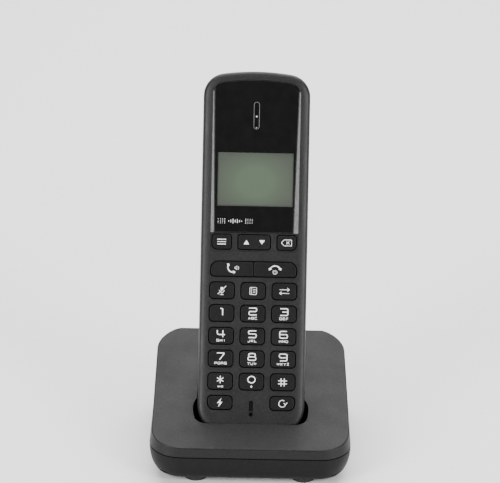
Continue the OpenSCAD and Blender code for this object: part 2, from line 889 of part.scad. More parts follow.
module handset_rf_shield() {
    color(steel) in_handset() facing(pcb_d[1], pcb_d[1] + shield_size.z)
        translate([0, from_top(shield_from_top)]) square([shield_size.x, shield_size.y], center = true);
}

module handset_antenna() {
    color(gold) in_handset() {
        facing(pcb_d[1], pcb_d[1] + antenna_size.z) translate([0, from_top(antenna_from_top)])
            square([antenna_size.x, antenna_size.y], center = true);
        facing(pcb_d[1], pcb_d[1] + antenna_feed.z)
            translate([0, from_top(antenna_from_top + antenna_feed.y / 2)])
                square([antenna_feed.x, antenna_feed.y], center = true);
    }
}

module mat_outline(i) {
    difference() {
        translate([0, (mat_u[0] + mat_u[1]) / 2])
            even_plate(2 * (mat_half - i), mat_u[1] - mat_u[0] - 2 * i, 3);
        translate([0, mat_u[0]]) square(mat_notch, center = true);
    }
}

module keypad_mat() {
    color([0.4, 0.4, 0.42]) in_handset() facing(mat_d[0], mat_d[1]) mat_outline(0);
}

module dome_sheet() {
    color(steel) in_handset() facing(dome_d[0], dome_d[1]) mat_outline(0.5);
}

module earpiece_speaker() {
    color(gloss_black) in_handset() translate([0, 0, from_top(ear_from_top)]) rotate([-90, 0, 0]) {
        translate([0, 0, face_wall + 0.2]) cylinder(r = earpiece_r, h = 2);
        translate([0, 0, face_wall + 2.2 - eps]) cylinder(r = 6, h = 0.9);
    }
}

module loudspeaker() {
    back = hand_t - hand_wall - 0.3;
    color(gloss_black) in_handset() translate([0, 0, from_top(speaker_from_top)]) rotate([-90, 0, 0]) {
        translate([0, 0, back - 3]) cylinder(r = speaker_r, h = 3);
        translate([0, 0, back - 6]) cylinder(r = 7, h = 3 + eps);
    }
}

module microphone() {
    color(steel) in_handset() translate([0, face_wall + 0.2, from_top(mic_hole_from_top)])
        rotate([-90, 0, 0]) cylinder(r = mic_size[0], h = mic_size[1]);
}

// ---------- Battery and fasteners ----------

module battery_cell(x, turn) {
    nub_h = 0.8;
    color([0.25, 0.5, 0.35]) in_handset()
        translate([x, cell_d, (bay_u[0] + bay_u[1]) / 2]) rotate([turn, 0, 0]) {
            translate([0, 0, -cell_l / 2]) cylinder(r = cell_r, h = cell_l - nub_h);
            translate([0, 0, cell_l / 2 - nub_h - eps]) cylinder(r = 1.9, h = nub_h + eps);
        }
}

module battery_cell_left() {
    battery_cell(-cell_x, 0);
}

module battery_cell_right() {
    battery_cell(cell_x, 180);
}

// A square block on a cell's axis, of size [side, thickness], from height u upwards
module facing_end(x, u, size) {
    translate([x - size[0] / 2, cell_d - size[0] / 2, u]) cube([size[0], size[0], size[1]]);
}

// A plate and a sprung tongue at each end of each cell
module battery_contacts() {
    color(gold) in_handset() for (x = [-cell_x, cell_x], k = [0, 1]) mirrored_end(k) {
        facing_end(x, bay_u[0], contact_plate);
        facing_end(x, bay_u[0] + contact_plate[1] - eps, contact_tongue);
    }
}

// Repeats a shape at the battery bay's upper end where k is 1
module mirrored_end(k) {
    mid = bay_u[0] + bay_u[1];
    translate([0, 0, k * mid]) mirror([0, 0, k]) children();
}

module handset_screws() {
    color(steel) in_handset() at_hand_bosses() {
        translate([0, 0, hand_screw_start])
            cylinder(r = hand_screw_r, h = hand_screw_seat - hand_screw_start + eps);
        difference() {
            translate([0, 0, hand_screw_seat]) cylinder(r = hand_screw_head[0], h = hand_screw_head[1]);
            for (turn = [0, 90])
                translate([0, 0, hand_screw_seat + hand_screw_head[1]]) rotate(turn)
                    cube(hand_screw_cross, center = true);
        }
    }
}

// ---------- Keys ----------

// The cap, its retaining flange and the plunger behind it
module press_key(name) {
    k = key_row(name);
    rise = k[2] == soft_row ? soft_rise : key_rise;
    outer = 2 * flange;
    trim = name == "talk" || name == "end" ? 0 : outer;
    color(key_grey) in_handset() {
        translate([k[1], 0, from_top(k[2])]) {
            facing(-rise, flange_d[0] + eps) plate(k[3], k[4], k[5]);
            facing(flange_d[0], flange_d[1]) even_plate(k[3] + trim, k[4] + outer, flange_r);
            rotate([-90, 0, 0]) cylinder(r = stem_r, h = stem_end);
        }
    }
}

module menu_key() {
    press_key("menu");
}

// A rocker that tips about two short pivots on the handset's long axis
module nav_key() {
    k = key_row("nav");
    pivot_l = k[4] + 2 * nav_pivot_out;
    color(key_grey) in_handset() translate([k[1], 0, from_top(k[2])]) {
        facing(-soft_rise, nav_body_end) plate(k[3], k[4], k[5]);
        translate([0, nav_pivot_d, -pivot_l / 2]) cylinder(r = nav_pivot_r, h = pivot_l);
        for (x = [-1, 1]) translate([x * nav_stem_x, 0, 0]) rotate([-90, 0, 0])
            cylinder(r = nav_stem_r, h = stem_end);
    }
}

module delete_key() {
    press_key("delete");
}

module talk_key() {
    press_key("talk");
}

module end_key() {
    press_key("end");
}

module mute_key() {
    press_key("mute");
}

module memory_key() {
    press_key("memory");
}

module intercom_key() {
    press_key("intercom");
}

module key_1() {
    press_key("1");
}

module key_2() {
    press_key("2");
}

module key_3() {
    press_key("3");
}

module key_4() {
    press_key("4");
}

module key_5() {
    press_key("5");
}

module key_6() {
    press_key("6");
}

module key_7() {
    press_key("7");
}

module key_8() {
    press_key("8");
}

module key_9() {
    press_key("9");
}

module key_star() {
    press_key("star");
}

module key_0() {
    press_key("0");
}

module key_hash() {
    press_key("hash");
}

module flash_key() {
    press_key("flash");
}

module redial_key() {
    press_key("redial");
}

base_bottom_cover();
base_top_cover();
base_feet();
base_screws();
base_pcb();
base_rf_shield();
base_antenna();
line_socket();
power_socket();
page_button();
page_board();
page_switch();
charge_contact_left();
charge_contact_right();
handset_front_cover();
handset_rear_cover();
display_lens();
lens_trim();
lcd_panel();
lcd_backlight();
handset_pcb();
handset_rf_shield();
handset_antenna();
keypad_mat();
dome_sheet();
earpiece_speaker();
loudspeaker();
microphone();
battery_cell_left();
battery_cell_right();
battery_contacts();
charge_pads();
handset_screws();
battery_door();
menu_key();
nav_key();
delete_key();
talk_key();
end_key();
mute_key();
memory_key();
intercom_key();
key_1();
key_2();
key_3();
key_4();
key_5();
key_6();
key_7();
key_8();
key_9();
key_star();
key_0();
key_hash();
flash_key();
redial_key();
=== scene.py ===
"""A cordless handset standing in its charging base, on a pale floor under soft studio light."""
import math
import bpy
import bmesh
from mathutils import Matrix, Vector


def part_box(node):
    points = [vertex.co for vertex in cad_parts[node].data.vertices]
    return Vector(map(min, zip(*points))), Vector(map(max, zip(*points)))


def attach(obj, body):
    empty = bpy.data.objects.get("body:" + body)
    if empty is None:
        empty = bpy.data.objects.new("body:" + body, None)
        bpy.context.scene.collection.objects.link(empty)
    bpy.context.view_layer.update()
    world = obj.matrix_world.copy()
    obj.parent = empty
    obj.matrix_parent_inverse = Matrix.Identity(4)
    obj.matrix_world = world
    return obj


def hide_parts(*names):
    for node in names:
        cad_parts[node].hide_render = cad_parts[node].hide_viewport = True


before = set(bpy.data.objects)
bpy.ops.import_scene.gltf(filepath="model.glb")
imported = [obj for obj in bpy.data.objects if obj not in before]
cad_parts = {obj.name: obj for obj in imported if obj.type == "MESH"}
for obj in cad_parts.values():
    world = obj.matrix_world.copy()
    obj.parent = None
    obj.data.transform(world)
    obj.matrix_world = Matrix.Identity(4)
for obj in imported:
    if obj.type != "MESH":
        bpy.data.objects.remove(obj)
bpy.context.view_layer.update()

# ---------- The object's driving dimensions, in millimetres ----------

MM = 0.001
BASE_LO, BASE_HI = (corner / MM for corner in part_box("base_top_cover"))
BASE_W = BASE_HI.x - BASE_LO.x
BASE_D = BASE_HI.y - BASE_LO.y
FRONT_Y = BASE_LO.y
PARTING_Z = 14.2
FOOT_H = 2.0
CORNER_R = 14.0
DECK_Z = 18.6
DECK_SLOPE = math.radians(12.5)
LEAN = math.radians(24)
CRADLE_FRONT = 17.4
SEAT_DEPTH = 6.0
SEAT_Y = FRONT_Y + CRADLE_FRONT * math.cos(DECK_SLOPE) - SEAT_DEPTH * math.sin(LEAN)
SEAT_Z = DECK_Z + CRADLE_FRONT * math.sin(DECK_SLOPE) - SEAT_DEPTH * math.cos(LEAN)

HAND_L = 160.2
HAND_W = 47.0
HAND_T = 24.0
HAND_T_END = 20.0
TAPER_L = 44.0
SPLIT_D = 10.5
TOP_R = 10.0
LOW_R = 13.5
ARCH_R = 100.0
SKIN = 0.02          # how far a shaped surface lies inside the frame's own
SEAM = 0.28          # half the width of the groove where two covers meet
LAP = 0.05           # overlap that keeps two surfaces from coinciding

RECESS_HALF = 19.3
RECESS_TOP = 4.0
RECESS_END = 79.4
LENS_END = 71.0
LENS_DEPTH = 1.5
STRIP_THIN, STRIP_WIDE = 0.4, (1.5, 2.1)
LCD_W, LCD_H, LCD_TOP = 33.2, 23.2, 35.9
EAR_W, EAR_H, EAR_TOP = 2.6, 12.1, 19.65
DOTS_X, DOTS_TOP = -8.5, 66.0
MIC_W, MIC_H, MIC_TOP = 1.75, 7.3, 147.95

KEY_W, KEY_H, KEY_R = 10.4, 6.9, 1.6
COLUMN, ROW, FIRST_ROW = 13.65, 9.92, 96.4
KEY_GAP = 0.45
KEY_RISE = 0.4
SOFT_ROW, SOFT_H, SOFT_RISE = 75.1, 6.2, 0.1
TALK_ROW, TALK_H, TALK_W, TALK_X = 86.9, 6.2, 18.45, 9.375
FLASH_ROW, FLASH_H = 145.4, 5.7

# Where points in the handset's own coordinates lie: x, depth behind the face, height
HANDSET = Matrix.Translation((0, SEAT_Y, SEAT_Z)) @ Matrix.Rotation(-LEAN, 4, "X")
WORLD = Matrix.Identity(4)


def up_from(top):
    """Height in the handset's coordinates of a place given by its distance from the top."""
    return HAND_L - top


# ---------- Outlines ----------

def arc(cx, cy, r, a0, a1, n):
    """Points on an arc, angles in degrees."""
    out = []
    for k in range(n + 1):
        a = math.radians(a0 + (a1 - a0) * k / n)
        out.append((cx + r * math.cos(a), cy + r * math.sin(a)))
    return out


def rounded(w, h, r, cx=0.0, cy=0.0, inset=0.0, n=8):
    """Rounded rectangle, anticlockwise. r is one radius, or four from the top left clockwise."""
    tl, tr, br, bl = r if isinstance(r, (tuple, list)) else (r,) * 4
    hw, hh = w / 2 - inset, h / 2 - inset
    out = []
    for sx, sy, radius, start in ((1, -1, br, -90), (1, 1, tr, 0), (-1, 1, tl, 90), (-1, -1, bl, 180)):
        q = max(radius - inset, 0.02)
        out += arc(cx + sx * (hw - q), cy + sy * (hh - q), q, start, start + 90, n)
    return out


def handset_outline(inset, half=HAND_W / 2, low=0.0, shift=0.0, low_r=LOW_R, n=12, stations=()):
    """The handset's front view, anticlockwise. Stations are heights of extra points on its sides."""
    hw = half - inset
    r = max(TOP_R - HAND_W / 2 + half - inset, 0.3)
    ql = max(low_r - inset, 0.3)
    arch = ARCH_R - inset
    mid = HAND_L - ARCH_R + shift
    cx = hw - r
    cu = mid + math.sqrt((arch - r) ** 2 - cx ** 2)
    tip = math.degrees(math.atan2(cu - mid, cx))
    out = arc(hw - ql, low + inset + ql, ql, -90, 0, n)
    out += [(hw, u) for u in stations]
    out += arc(cx, cu, r, 0, tip, n)
    out += arc(0, mid, arch, tip, 180 - tip, 14)[1:-1]
    out += arc(-cx, cu, r, 180 - tip, 180, n)
    out += [(-hw, u) for u in reversed(stations)]
    out += arc(-hw + ql, low + inset + ql, ql, 180, 270, n)
    return out


def recess_outline(inset):
    """The pocket for the lens and the three soft keys."""
    return handset_outline(inset, half=RECESS_HALF, low=up_from(RECESS_END), shift=-RECESS_TOP, low_r=2.5)


def base_plan(inset, n=12):
    return rounded(BASE_W, BASE_D, CORNER_R, 0, FRONT_Y + BASE_D / 2, inset, n)


def quarter_round(steps):
    """Runs along a quarter circle of radius 1: how far in from its start, how far below its top."""
    for s in range(steps + 1):
        a = math.radians(90 * s / steps)
        yield 1 - math.cos(a), 1 - math.sin(a)


# ---------- Mesh tools ----------

def new_object(name, bm, place=WORLD, sharp=30.0):
    """Makes an object from a bmesh in millimetres, with its smooth and sharp edges set."""
    bmesh.ops.remove_doubles(bm, verts=bm.verts, dist=1e-4)
    bmesh.ops.recalc_face_normals(bm, faces=bm.faces)
    bm.transform(Matrix.Scale(MM, 4) @ place)
    mesh = bpy.data.meshes.new(name)
    bm.to_mesh(mesh)
    bm.free()
    obj = bpy.data.objects.new(name, mesh)
    bpy.context.scene.collection.objects.link(obj)
    set_sharp(obj, sharp)
    return obj


def set_sharp(obj, angle=30.0):
    """Smooth faces, with edges sharper than the angle kept crisp."""
    bm = bmesh.new()
    bm.from_mesh(obj.data)
    limit = math.radians(angle)
    for f in bm.faces:
        f.smooth = True
    for e in bm.edges:
        e.smooth = not (len(e.link_faces) == 2 and e.calc_face_angle(0) > limit)
    bm.to_mesh(obj.data)
    bm.free()


def loft(bm, rings, cap_end=True):
    """Skins rings of equal length with quads, closes the start and, unless told not to, the end."""
    rows = [[bm.verts.new(p) for p in ring] for ring in rings]
    n = len(rows[0])
    for a, b in zip(rows, rows[1:]):
        for k in range(n):
            bm.faces.new((a[k], a[(k + 1) % n], b[(k + 1) % n], b[k]))
    bm.faces.new(rows[0][::-1])
    if cap_end:
        bm.faces.new(rows[-1])
    return rows


def on_face(points, depth):
    """Front-view points placed at a depth in the handset's coordinates."""
    return [(x, depth, u) for x, u in points]


def apply_modifiers(obj):
    """Replaces an object's mesh by what its modifiers make of it."""
    dg = bpy.context.evaluated_depsgraph_get()
    mesh = bpy.data.meshes.new_from_object(obj.evaluated_get(dg))
    obj.modifiers.clear()
    old = obj.data
    obj.data = mesh
    bpy.data.meshes.remove(old)


def boolean(obj, other, operation):
    """Applies one exact boolean and removes the tool object."""
    mod = obj.modifiers.new("cut", "BOOLEAN")
    mod.operation = operation
    mod.solver = "EXACT"
    mod.object = other
    bpy.context.view_layer.update()
    apply_modifiers(obj)
    mesh = other.data
    bpy.data.objects.remove(other)
    bpy.data.meshes.remove(mesh)


def frame_copy(node):
    """A loose copy of a frame node's mesh, for use as a boolean tool."""
    obj = bpy.data.objects.new(node + "_tool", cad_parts[node].data.copy())
    bpy.context.scene.collection.objects.link(obj)
    bm = bmesh.new()
    bm.from_mesh(obj.data)
    bmesh.ops.remove_doubles(bm, verts=bm.verts, dist=1e-7)
    bm.to_mesh(obj.data)
    bm.free()
    return obj


def finish_shape(obj, angle=28.0):
    """Cleans a cut mesh and weights its normals by face area, so that flats stay flat."""
    bm = bmesh.new()
    bm.from_mesh(obj.data)
    bmesh.ops.remove_doubles(bm, verts=bm.verts, dist=2e-7)
    bmesh.ops.dissolve_degenerate(bm, edges=bm.edges, dist=1e-7)
    bm.to_mesh(obj.data)
    bm.free()
    set_sharp(obj, angle)
    mod = obj.modifiers.new("flat normals", "WEIGHTED_NORMAL")
    mod.keep_sharp = True
    mod.weight = 60


def skin(piece, material, body, slot, *nodes):
    """Gives a piece its material, its body and the nodes that it stands for. The slot is not used."""
    piece.data.materials.clear()
    piece.data.materials.append(material)
    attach(piece, body)
    if nodes:
        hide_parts(*nodes)
    return piece


# ---------- Materials ----------

def shader(name, colour, roughness, **extra):
    """A material on one Principled shader. Extra values name its sockets, with _ for a space."""
    mat = bpy.data.materials.new(name)
    mat.use_nodes = True
    bsdf = mat.node_tree.nodes["Principled BSDF"]
    bsdf.inputs["Base Color"].default_value = (*colour, 1)
    bsdf.inputs["Roughness"].default_value = roughness
    for key, value in extra.items():
        bsdf.inputs[key.replace("_", " ")].default_value = value
    return mat, mat.node_tree, bsdf


def node(tree, kind, **values):
    """A new shader node with the given settings."""
    made = tree.nodes.new(kind)
    for key, value in values.items():
        setattr(made, key, value)
    return made


def noise(tree, scale, detail):
    """Noise fixed to the object, from 0 to 1."""
    coords = node(tree, "ShaderNodeTexCoord")
    made = node(tree, "ShaderNodeTexNoise")
    made.inputs["Scale"].default_value = scale
    made.inputs["Detail"].default_value = detail
    tree.links.new(coords.outputs["Object"], made.inputs["Vector"])
    return made.outputs["Fac"]


def ramp(tree, value, low, high):
    """Maps a 0 to 1 value between two greys or colours."""
    made = node(tree, "ShaderNodeValToRGB")
    as_colour = (lambda v: (*v, 1) if isinstance(v, tuple) else (v, v, v, 1))
    made.color_ramp.elements[0].position = 0.3
    made.color_ramp.elements[1].position = 0.7
    made.color_ramp.elements[0].color = as_colour(low)
    made.color_ramp.elements[1].color = as_colour(high)
    tree.links.new(value, made.inputs["Fac"])
    return made.outputs["Color"]


def bump(tree, bsdf, height, distance):
    """Adds a bump on top of any that the shader already has."""
    made = node(tree, "ShaderNodeBump")
    made.inputs["Distance"].default_value = distance
    tree.links.new(height, made.inputs["Height"])
    old = bsdf.inputs["Normal"].links
    if old:
        tree.links.new(old[0].from_socket, made.inputs["Normal"])
    tree.links.new(made.outputs["Normal"], bsdf.inputs["Normal"])


def moulded(name, colour, roughness=0.5, grain=0.00003, grain_scale=2600.0, **extra):
    """Textured injection moulding: fine grain, faint mottling and slightly uneven sheen."""
    mat, tree, bsdf = shader(name, colour, roughness, **extra)
    light = tuple(c * 1.35 for c in colour)
    dark = tuple(c * 0.7 for c in colour)
    mottling = ramp(tree, noise(tree, grain_scale * 0.6, 3), dark, light)
    sheen = ramp(tree, noise(tree, 90, 5), roughness - 0.05, roughness + 0.06)
    tree.links.new(mottling, bsdf.inputs["Base Color"])
    tree.links.new(sheen, bsdf.inputs["Roughness"])
    bump(tree, bsdf, noise(tree, grain_scale, 2), grain)
    bump(tree, bsdf, noise(tree, 160, 3), grain * 0.7)
    return mat


def metal(name, colour, roughness=0.3):
    """Plated sheet or wire, a little uneven in its sheen."""
    mat, tree, bsdf = shader(name, colour, roughness, Metallic=1.0)
    sheen = ramp(tree, noise(tree, 700, 4), roughness - 0.08, roughness + 0.12)
    tree.links.new(sheen, bsdf.inputs["Roughness"])
    bump(tree, bsdf, noise(tree, 1500, 3), 0.000004)
    return mat


CASE = moulded("case plastic", (0.0125, 0.0125, 0.0128), 0.43, grain=0.00006, grain_scale=1900,
               Specular_IOR_Level=0.28)
# The base's copy of the case plastic is darker: painted shade for its front band and deck.
SHADED_BASE_CASE = moulded("base cover plastic with painted shade", (0.0082, 0.0082, 0.0085), 0.47, grain=0.00006, grain_scale=1900,
                    Specular_IOR_Level=0.22)
TUB = moulded("tub plastic", (0.0065, 0.0065, 0.0067), 0.5, Specular_IOR_Level=0.13)
KEYCAP = moulded("keycap plastic", (0.0078, 0.0078, 0.008), 0.42, grain=0.000012, Specular_IOR_Level=0.18)
# Near black for the microphone slot's web: partly the gauze's own dark colour, partly painted shade of the
# slot.
SHADE_BLACK = moulded("recess black with painted shade", (0.002, 0.002, 0.002), 0.6, Specular_IOR_Level=0.1)
GLOSS = moulded("socket plastic", (0.012, 0.012, 0.013), 0.22, grain=0.000004)
RUBBER = moulded("foot rubber", (0.012, 0.012, 0.012), 0.75, grain=0.00004)
LENS = moulded("lens", (0.0028, 0.0028, 0.003), 0.07, grain=0.0000004, grain_scale=400,
               Specular_IOR_Level=0.3, Coat_Weight=0.15, Coat_Roughness=0.03)
# Light grey standing in for light caught by the clear lens's bevelled sides and the earpiece slot's edges: a
# painted highlight.
TRIM_HIGHLIGHT = moulded("lens trim", (0.14, 0.14, 0.143), 0.3, grain=0.000004)
# Light grey on the lens's bevel: a painted highlight along its edge.
LENS_EDGE_HIGHLIGHT = moulded("lens edge painted highlight", (0.4, 0.4, 0.4), 0.3, grain=0.000004)
PRINT = moulded("legend ink", (0.86, 0.86, 0.86), 0.5, grain=0.000004)
MAT_GREY = moulded("silicone mat", (0.18, 0.18, 0.19), 0.6)
WHITE = moulded("diffuser", (0.7, 0.7, 0.68), 0.5)
SPEAKER = moulded("speaker", (0.015, 0.015, 0.016), 0.55)
CELL = moulded("cell wrap", (0.05, 0.22, 0.10), 0.3, grain=0.000004)
BOARD = moulded("circuit board", (0.015, 0.11, 0.045), 0.35, grain=0.00001, grain_scale=900)
STEEL = metal("zinc steel", (0.60, 0.60, 0.62), 0.34)
NICKEL = metal("nickel", (0.66, 0.62, 0.55), 0.28)
BRASS = metal("brass", (0.78, 0.56, 0.26), 0.26)


PIXEL_PITCH = 0.55


def display_glass():
    """Grey-green reflective display with a faint pixel grid, darker towards its edges as painted shade of the
    window's walls.
    """
    mat, tree, bsdf = shader("display", (0.15, 0.18, 0.14), 0.2, Specular_IOR_Level=0.3, Coat_Weight=0.15)
    bsdf.inputs["Coat Roughness"].default_value = 0.05
    coords = node(tree, "ShaderNodeTexCoord")
    place = node(tree, "ShaderNodeMapping", vector_type="TEXTURE")
    centre = HANDSET @ Vector((0, 0, up_from(LCD_TOP + LCD_H * 0.55)))
    place.inputs["Location"].default_value = centre * MM
    place.inputs["Rotation"].default_value = (-LEAN, 0, 0)
    place.inputs["Scale"].default_value = (LCD_W * 0.72 * MM, MM * 20, LCD_H * 0.85 * MM)
    # Painted shade: a falloff from the centre darkens the pane towards its edges, where the window's walls
    # would shade it.
    window_shade_falloff = node(tree, "ShaderNodeTexGradient", gradient_type="QUADRATIC_SPHERE")
    tree.links.new(coords.outputs["Object"], place.inputs["Vector"])
    tree.links.new(place.outputs["Vector"], window_shade_falloff.inputs["Vector"])
    shaded_tone = node(tree, "ShaderNodeValToRGB")
    shaded_tone.color_ramp.elements[0].color = (0.058, 0.065, 0.054, 1)
    shaded_tone.color_ramp.elements[1].position = 0.45
    shaded_tone.color_ramp.elements[1].color = (0.075, 0.098, 0.070, 1)
    tree.links.new(window_shade_falloff.outputs["Fac"], shaded_tone.inputs["Fac"])
    grid = node(tree, "ShaderNodeTexBrick", offset=0.0, squash=1.0)
    grid.inputs["Scale"].default_value = 1 / (PIXEL_PITCH * MM)
    grid.inputs["Mortar Size"].default_value = 0.06
    grid.inputs["Brick Width"].default_value = 1.0
    grid.inputs["Row Height"].default_value = 1.0
    grid.inputs["Color1"].default_value = (1, 1, 1, 1)
    grid.inputs["Color2"].default_value = (1, 1, 1, 1)
    grid.inputs["Mortar"].default_value = (0.93, 0.93, 0.93, 1)
    turn = node(tree, "ShaderNodeMapping", vector_type="POINT")
    turn.inputs["Rotation"].default_value = (math.pi / 2 - LEAN, 0, 0)
    tree.links.new(coords.outputs["Object"], turn.inputs["Vector"])
    tree.links.new(turn.outputs["Vector"], grid.inputs["Vector"])
    mix = node(tree, "ShaderNodeMix", data_type="RGBA", blend_type="MULTIPLY")
    mix.inputs["Factor"].default_value = 1.0
    tree.links.new(shaded_tone.outputs["Color"], mix.inputs["A"])
    tree.links.new(grid.outputs["Color"], mix.inputs["B"])
    tree.links.new(mix.outputs["Result"], bsdf.inputs["Base Color"])
    return mat


LCD = display_glass()


# ---------- Base covers ----------

SIDE_DRAFT, FRONT_DRAFT = 0.85, 0.3     # how far the walls lean in at the rim
DECK_RIM = 0.5                          # radius of the rim
DECK_REACH = 10.0                       # how far in from the rim the deck falls away
DECK_DROP = 0.7                         # how far it falls at its two sides
TUB_EDGE = 5.6                          # how far the tub draws in at its bottom
TUB_LIP = 1.5


def deck_height(y):
    return DECK_Z + (y - FRONT_Y) * math.tan(DECK_SLOPE)


def smooth_step(v, lo, hi):
    t = min(max((v - lo) / (hi - lo), 0), 1)
    return t * t * (3 - 2 * t)


def base_top_solid():
    """Walls that lean in a little, a crisp rim and a deck that falls away softly at its sides."""
    outer, inner = base_plan(SKIN), base_plan(SKIN + 1)
    facing = [(Vector(a) - Vector(b)).normalized() for a, b in zip(outer, inner)]
    draft = [SIDE_DRAFT * abs(f.x) + FRONT_DRAFT * max(-f.y, 0) for f in facing]
    drops = [SKIN + DECK_DROP * smooth_step(abs(f.x), 0.2, 1) for f in facing]
    plans = {}

    def deck_ring(inset, share, below=0.0):
        """A ring at an inset from the rim, with a share of the full drop."""
        ring = []
        for k, (lean, drop) in enumerate(zip(draft, drops)):
            key = round(lean + inset, 3)
            if key not in plans:
                plans[key] = base_plan(SKIN + key)
            x, y = plans[key][k]
            ring.append((x, y, deck_height(y) - drop * share - SKIN * (1 - share) - below))
        return ring

    rings = [[(x, y, PARTING_Z - 2 * LAP) for x, y in base_plan(SEAM + 2 * LAP)],
             [(x, y, PARTING_Z + SEAM) for x, y in outer]]
    rings += [deck_ring(DECK_RIM * inward, 1, DECK_RIM * below) for inward, below in quarter_round(5)]
    for t in (0.06, 0.14, 0.24, 0.36, 0.5, 0.66, 0.84, 1.0):
        rings.append(deck_ring(DECK_RIM + DECK_REACH * t, (1 - t) ** 2))
    bm = bmesh.new()
    loft(bm, rings)
    return new_object("base_top_shell", bm)


def tub_solid():
    """The tub curves in from the parting line to the bottom in one quarter of an ellipse."""
    high = PARTING_Z - SEAM - FOOT_H
    rings = [[(x, y, PARTING_Z + 2) for x, y in base_plan(TUB_LIP)],
             [(x, y, PARTING_Z - 2 * LAP) for x, y in base_plan(TUB_LIP)],
             [(x, y, PARTING_Z - 2 * LAP) for x, y in base_plan(SEAM + 2 * LAP)]]
    for inward, below in quarter_round(16):
        z = FOOT_H + SKIN + high * below
        rings.append([(x, y, z) for x, y in base_plan(SKIN + TUB_EDGE * inward)])
    bm = bmesh.new()
    loft(bm, rings)
    return new_object("base_tub_shell", bm)


def make_base():
    top = base_top_solid()
    boolean(top, frame_copy("base_top_cover"), "INTERSECT")
    finish_shape(top)
    # The darker base plastic carries painted shade.
    skin(top, SHADED_BASE_CASE, "base", "case", "base_top_cover")
    tub = tub_solid()
    boolean(tub, frame_copy("base_bottom_cover"), "INTERSECT")
    finish_shape(tub)
    skin(tub, TUB, "base", "tub", "base_bottom_cover")


# ---------- Handset covers ----------

# How the face falls away to the sides: (inset from the outline, depth)
CROWN = ((SKIN, 3.4), (0.1, 2.4), (0.32, 1.6), (0.7, 1.0), (1.25, 0.62), (2.1, 0.34), (3.0, 0.15),
         (3.9, 0.05), (5.2, SKIN))


def face_solid():
    rings = [on_face(handset_outline(SEAM + LAP), SPLIT_D + LAP),
             on_face(handset_outline(SKIN), SPLIT_D - SEAM)]
    rings += [on_face(handset_outline(i), d) for i, d in CROWN]
    bm = bmesh.new()
    loft(bm, rings)
    return new_object("handset_face_shell", bm, HANDSET)


# The back: radii of its long edges, of its two ends in the side view and of its outline's rim
BACK_R = 8.2
END_R = 8.0
BACK_TOP_R = 10.1
RIM_R = 5.0
BLEND = 3.0          # a higher power keeps the three shapes more distinct
BACK_LIP = (1.85, 1.5)
TAPER = math.atan((HAND_T - HAND_T_END) / TAPER_L)
# Heights at which the long sides have points, closest around the start of the taper
STATIONS = (18, 24, 31, 37, 41, 44, 47, 55, 80, 110, 132)


def thickness(u):
    """The handset's thickness at a height."""
    return HAND_T_END + (HAND_T - HAND_T_END) * min(max(u, 0) / TAPER_L, 1)


def fall(distance, r):
    """How far a round of radius r lies below its flat, at a distance from its start."""
    return r - math.sqrt(r ** 2 - (r - min(max(distance, 0), r)) ** 2)


def back_depth(x, u, inset):
    """Depth of the back: its section, its side view and its rim, blended."""
    end_start = HAND_T_END - END_R / math.tan((math.pi / 2 + TAPER) / 2)
    rounded_end = end_start + END_R - fall(u - SKIN, END_R)
    lower = thickness(u) if u > END_R else min(thickness(u), rounded_end)
    falls = (fall(HAND_W / 2 - SKIN - abs(x), BACK_R), fall(inset - SKIN, RIM_R),
             max(HAND_T - lower, fall(HAND_L - SKIN - u, BACK_TOP_R)))
    drop = sum(f ** BLEND for f in falls) ** (1 / BLEND)
    return max(HAND_T - SKIN - drop, SPLIT_D + SEAM + LAP)


def back_solid():
    """The rear half as one solid: a lip, the seam's groove, the sides and the rounded back."""
    def ring(inset, depth):
        return on_face(handset_outline(inset, stations=STATIONS), depth)

    lip_inset, lip_h = BACK_LIP
    rings = [ring(lip_inset, SPLIT_D - lip_h), ring(lip_inset, SPLIT_D - LAP),
             ring(SEAM + LAP, SPLIT_D - LAP), ring(SKIN, SPLIT_D + SEAM)]
    for inward, _ in quarter_round(16):
        inset = SKIN + 1.02 * BACK_TOP_R * inward
        outline = handset_outline(inset, stations=STATIONS)
        rings.append([(x, back_depth(x, u, inset), u) for x, u in outline])
    bm = bmesh.new()
    rim = loft(bm, rings, cap_end=False)[-1]
    # The flat of the back, in strips between points at the same height on the two sides
    for k in range(len(rim) // 2):
        corners = [rim[k], rim[k + 1], rim[-2 - k], rim[-1 - k]]
        bm.faces.new([v for n, v in enumerate(corners) if v not in corners[:n]])
    return new_object("handset_back_shell", bm, HANDSET)


def flare(bm, outline, radius, surface=SKIN):
    """A cutter that rounds an opening's rim. outline(offset) gives the opening, grown by offset."""
    rings = [on_face(outline(radius), surface - 1)]
    rings += [on_face(outline(radius * below), surface + radius * inward)
              for inward, below in quarter_round(5)]
    rings.append(on_face(outline(-LAP), surface + radius + LAP))
    loft(bm, rings)


# Every key: node name, x, distance from the top, width, height, radii from the top left clockwise
SOFT_X, SOFT_W, NAV_W = 14.25, 8.1, 13.8
KEYS = [
    ("menu_key", -SOFT_X, SOFT_ROW, SOFT_W, SOFT_H, (1, 1, 1, 2.2)),
    ("nav_key", 0, SOFT_ROW, NAV_W, SOFT_H, (1, 1, 1, 1)),
    ("delete_key", SOFT_X, SOFT_ROW, SOFT_W, SOFT_H, (1, 1, 2.2, 1)),
    ("talk_key", -TALK_X, TALK_ROW, TALK_W, TALK_H, (3.2, 0.3, 0.3, 1.3)),
    ("end_key", TALK_X, TALK_ROW, TALK_W, TALK_H, (0.3, 3.2, 1.3, 0.3)),
    ("flash_key", -COLUMN, FLASH_ROW, KEY_W, FLASH_H, (KEY_R, KEY_R, KEY_R, 2.6)),
    ("redial_key", COLUMN, FLASH_ROW, KEY_W, FLASH_H, (KEY_R, KEY_R, 2.6, KEY_R)),
]
GRID = (("mute_key", "memory_key", "intercom_key"), ("key_1", "key_2", "key_3"),
        ("key_4", "key_5", "key_6"), ("key_7", "key_8", "key_9"), ("key_star", "key_0", "key_hash"))
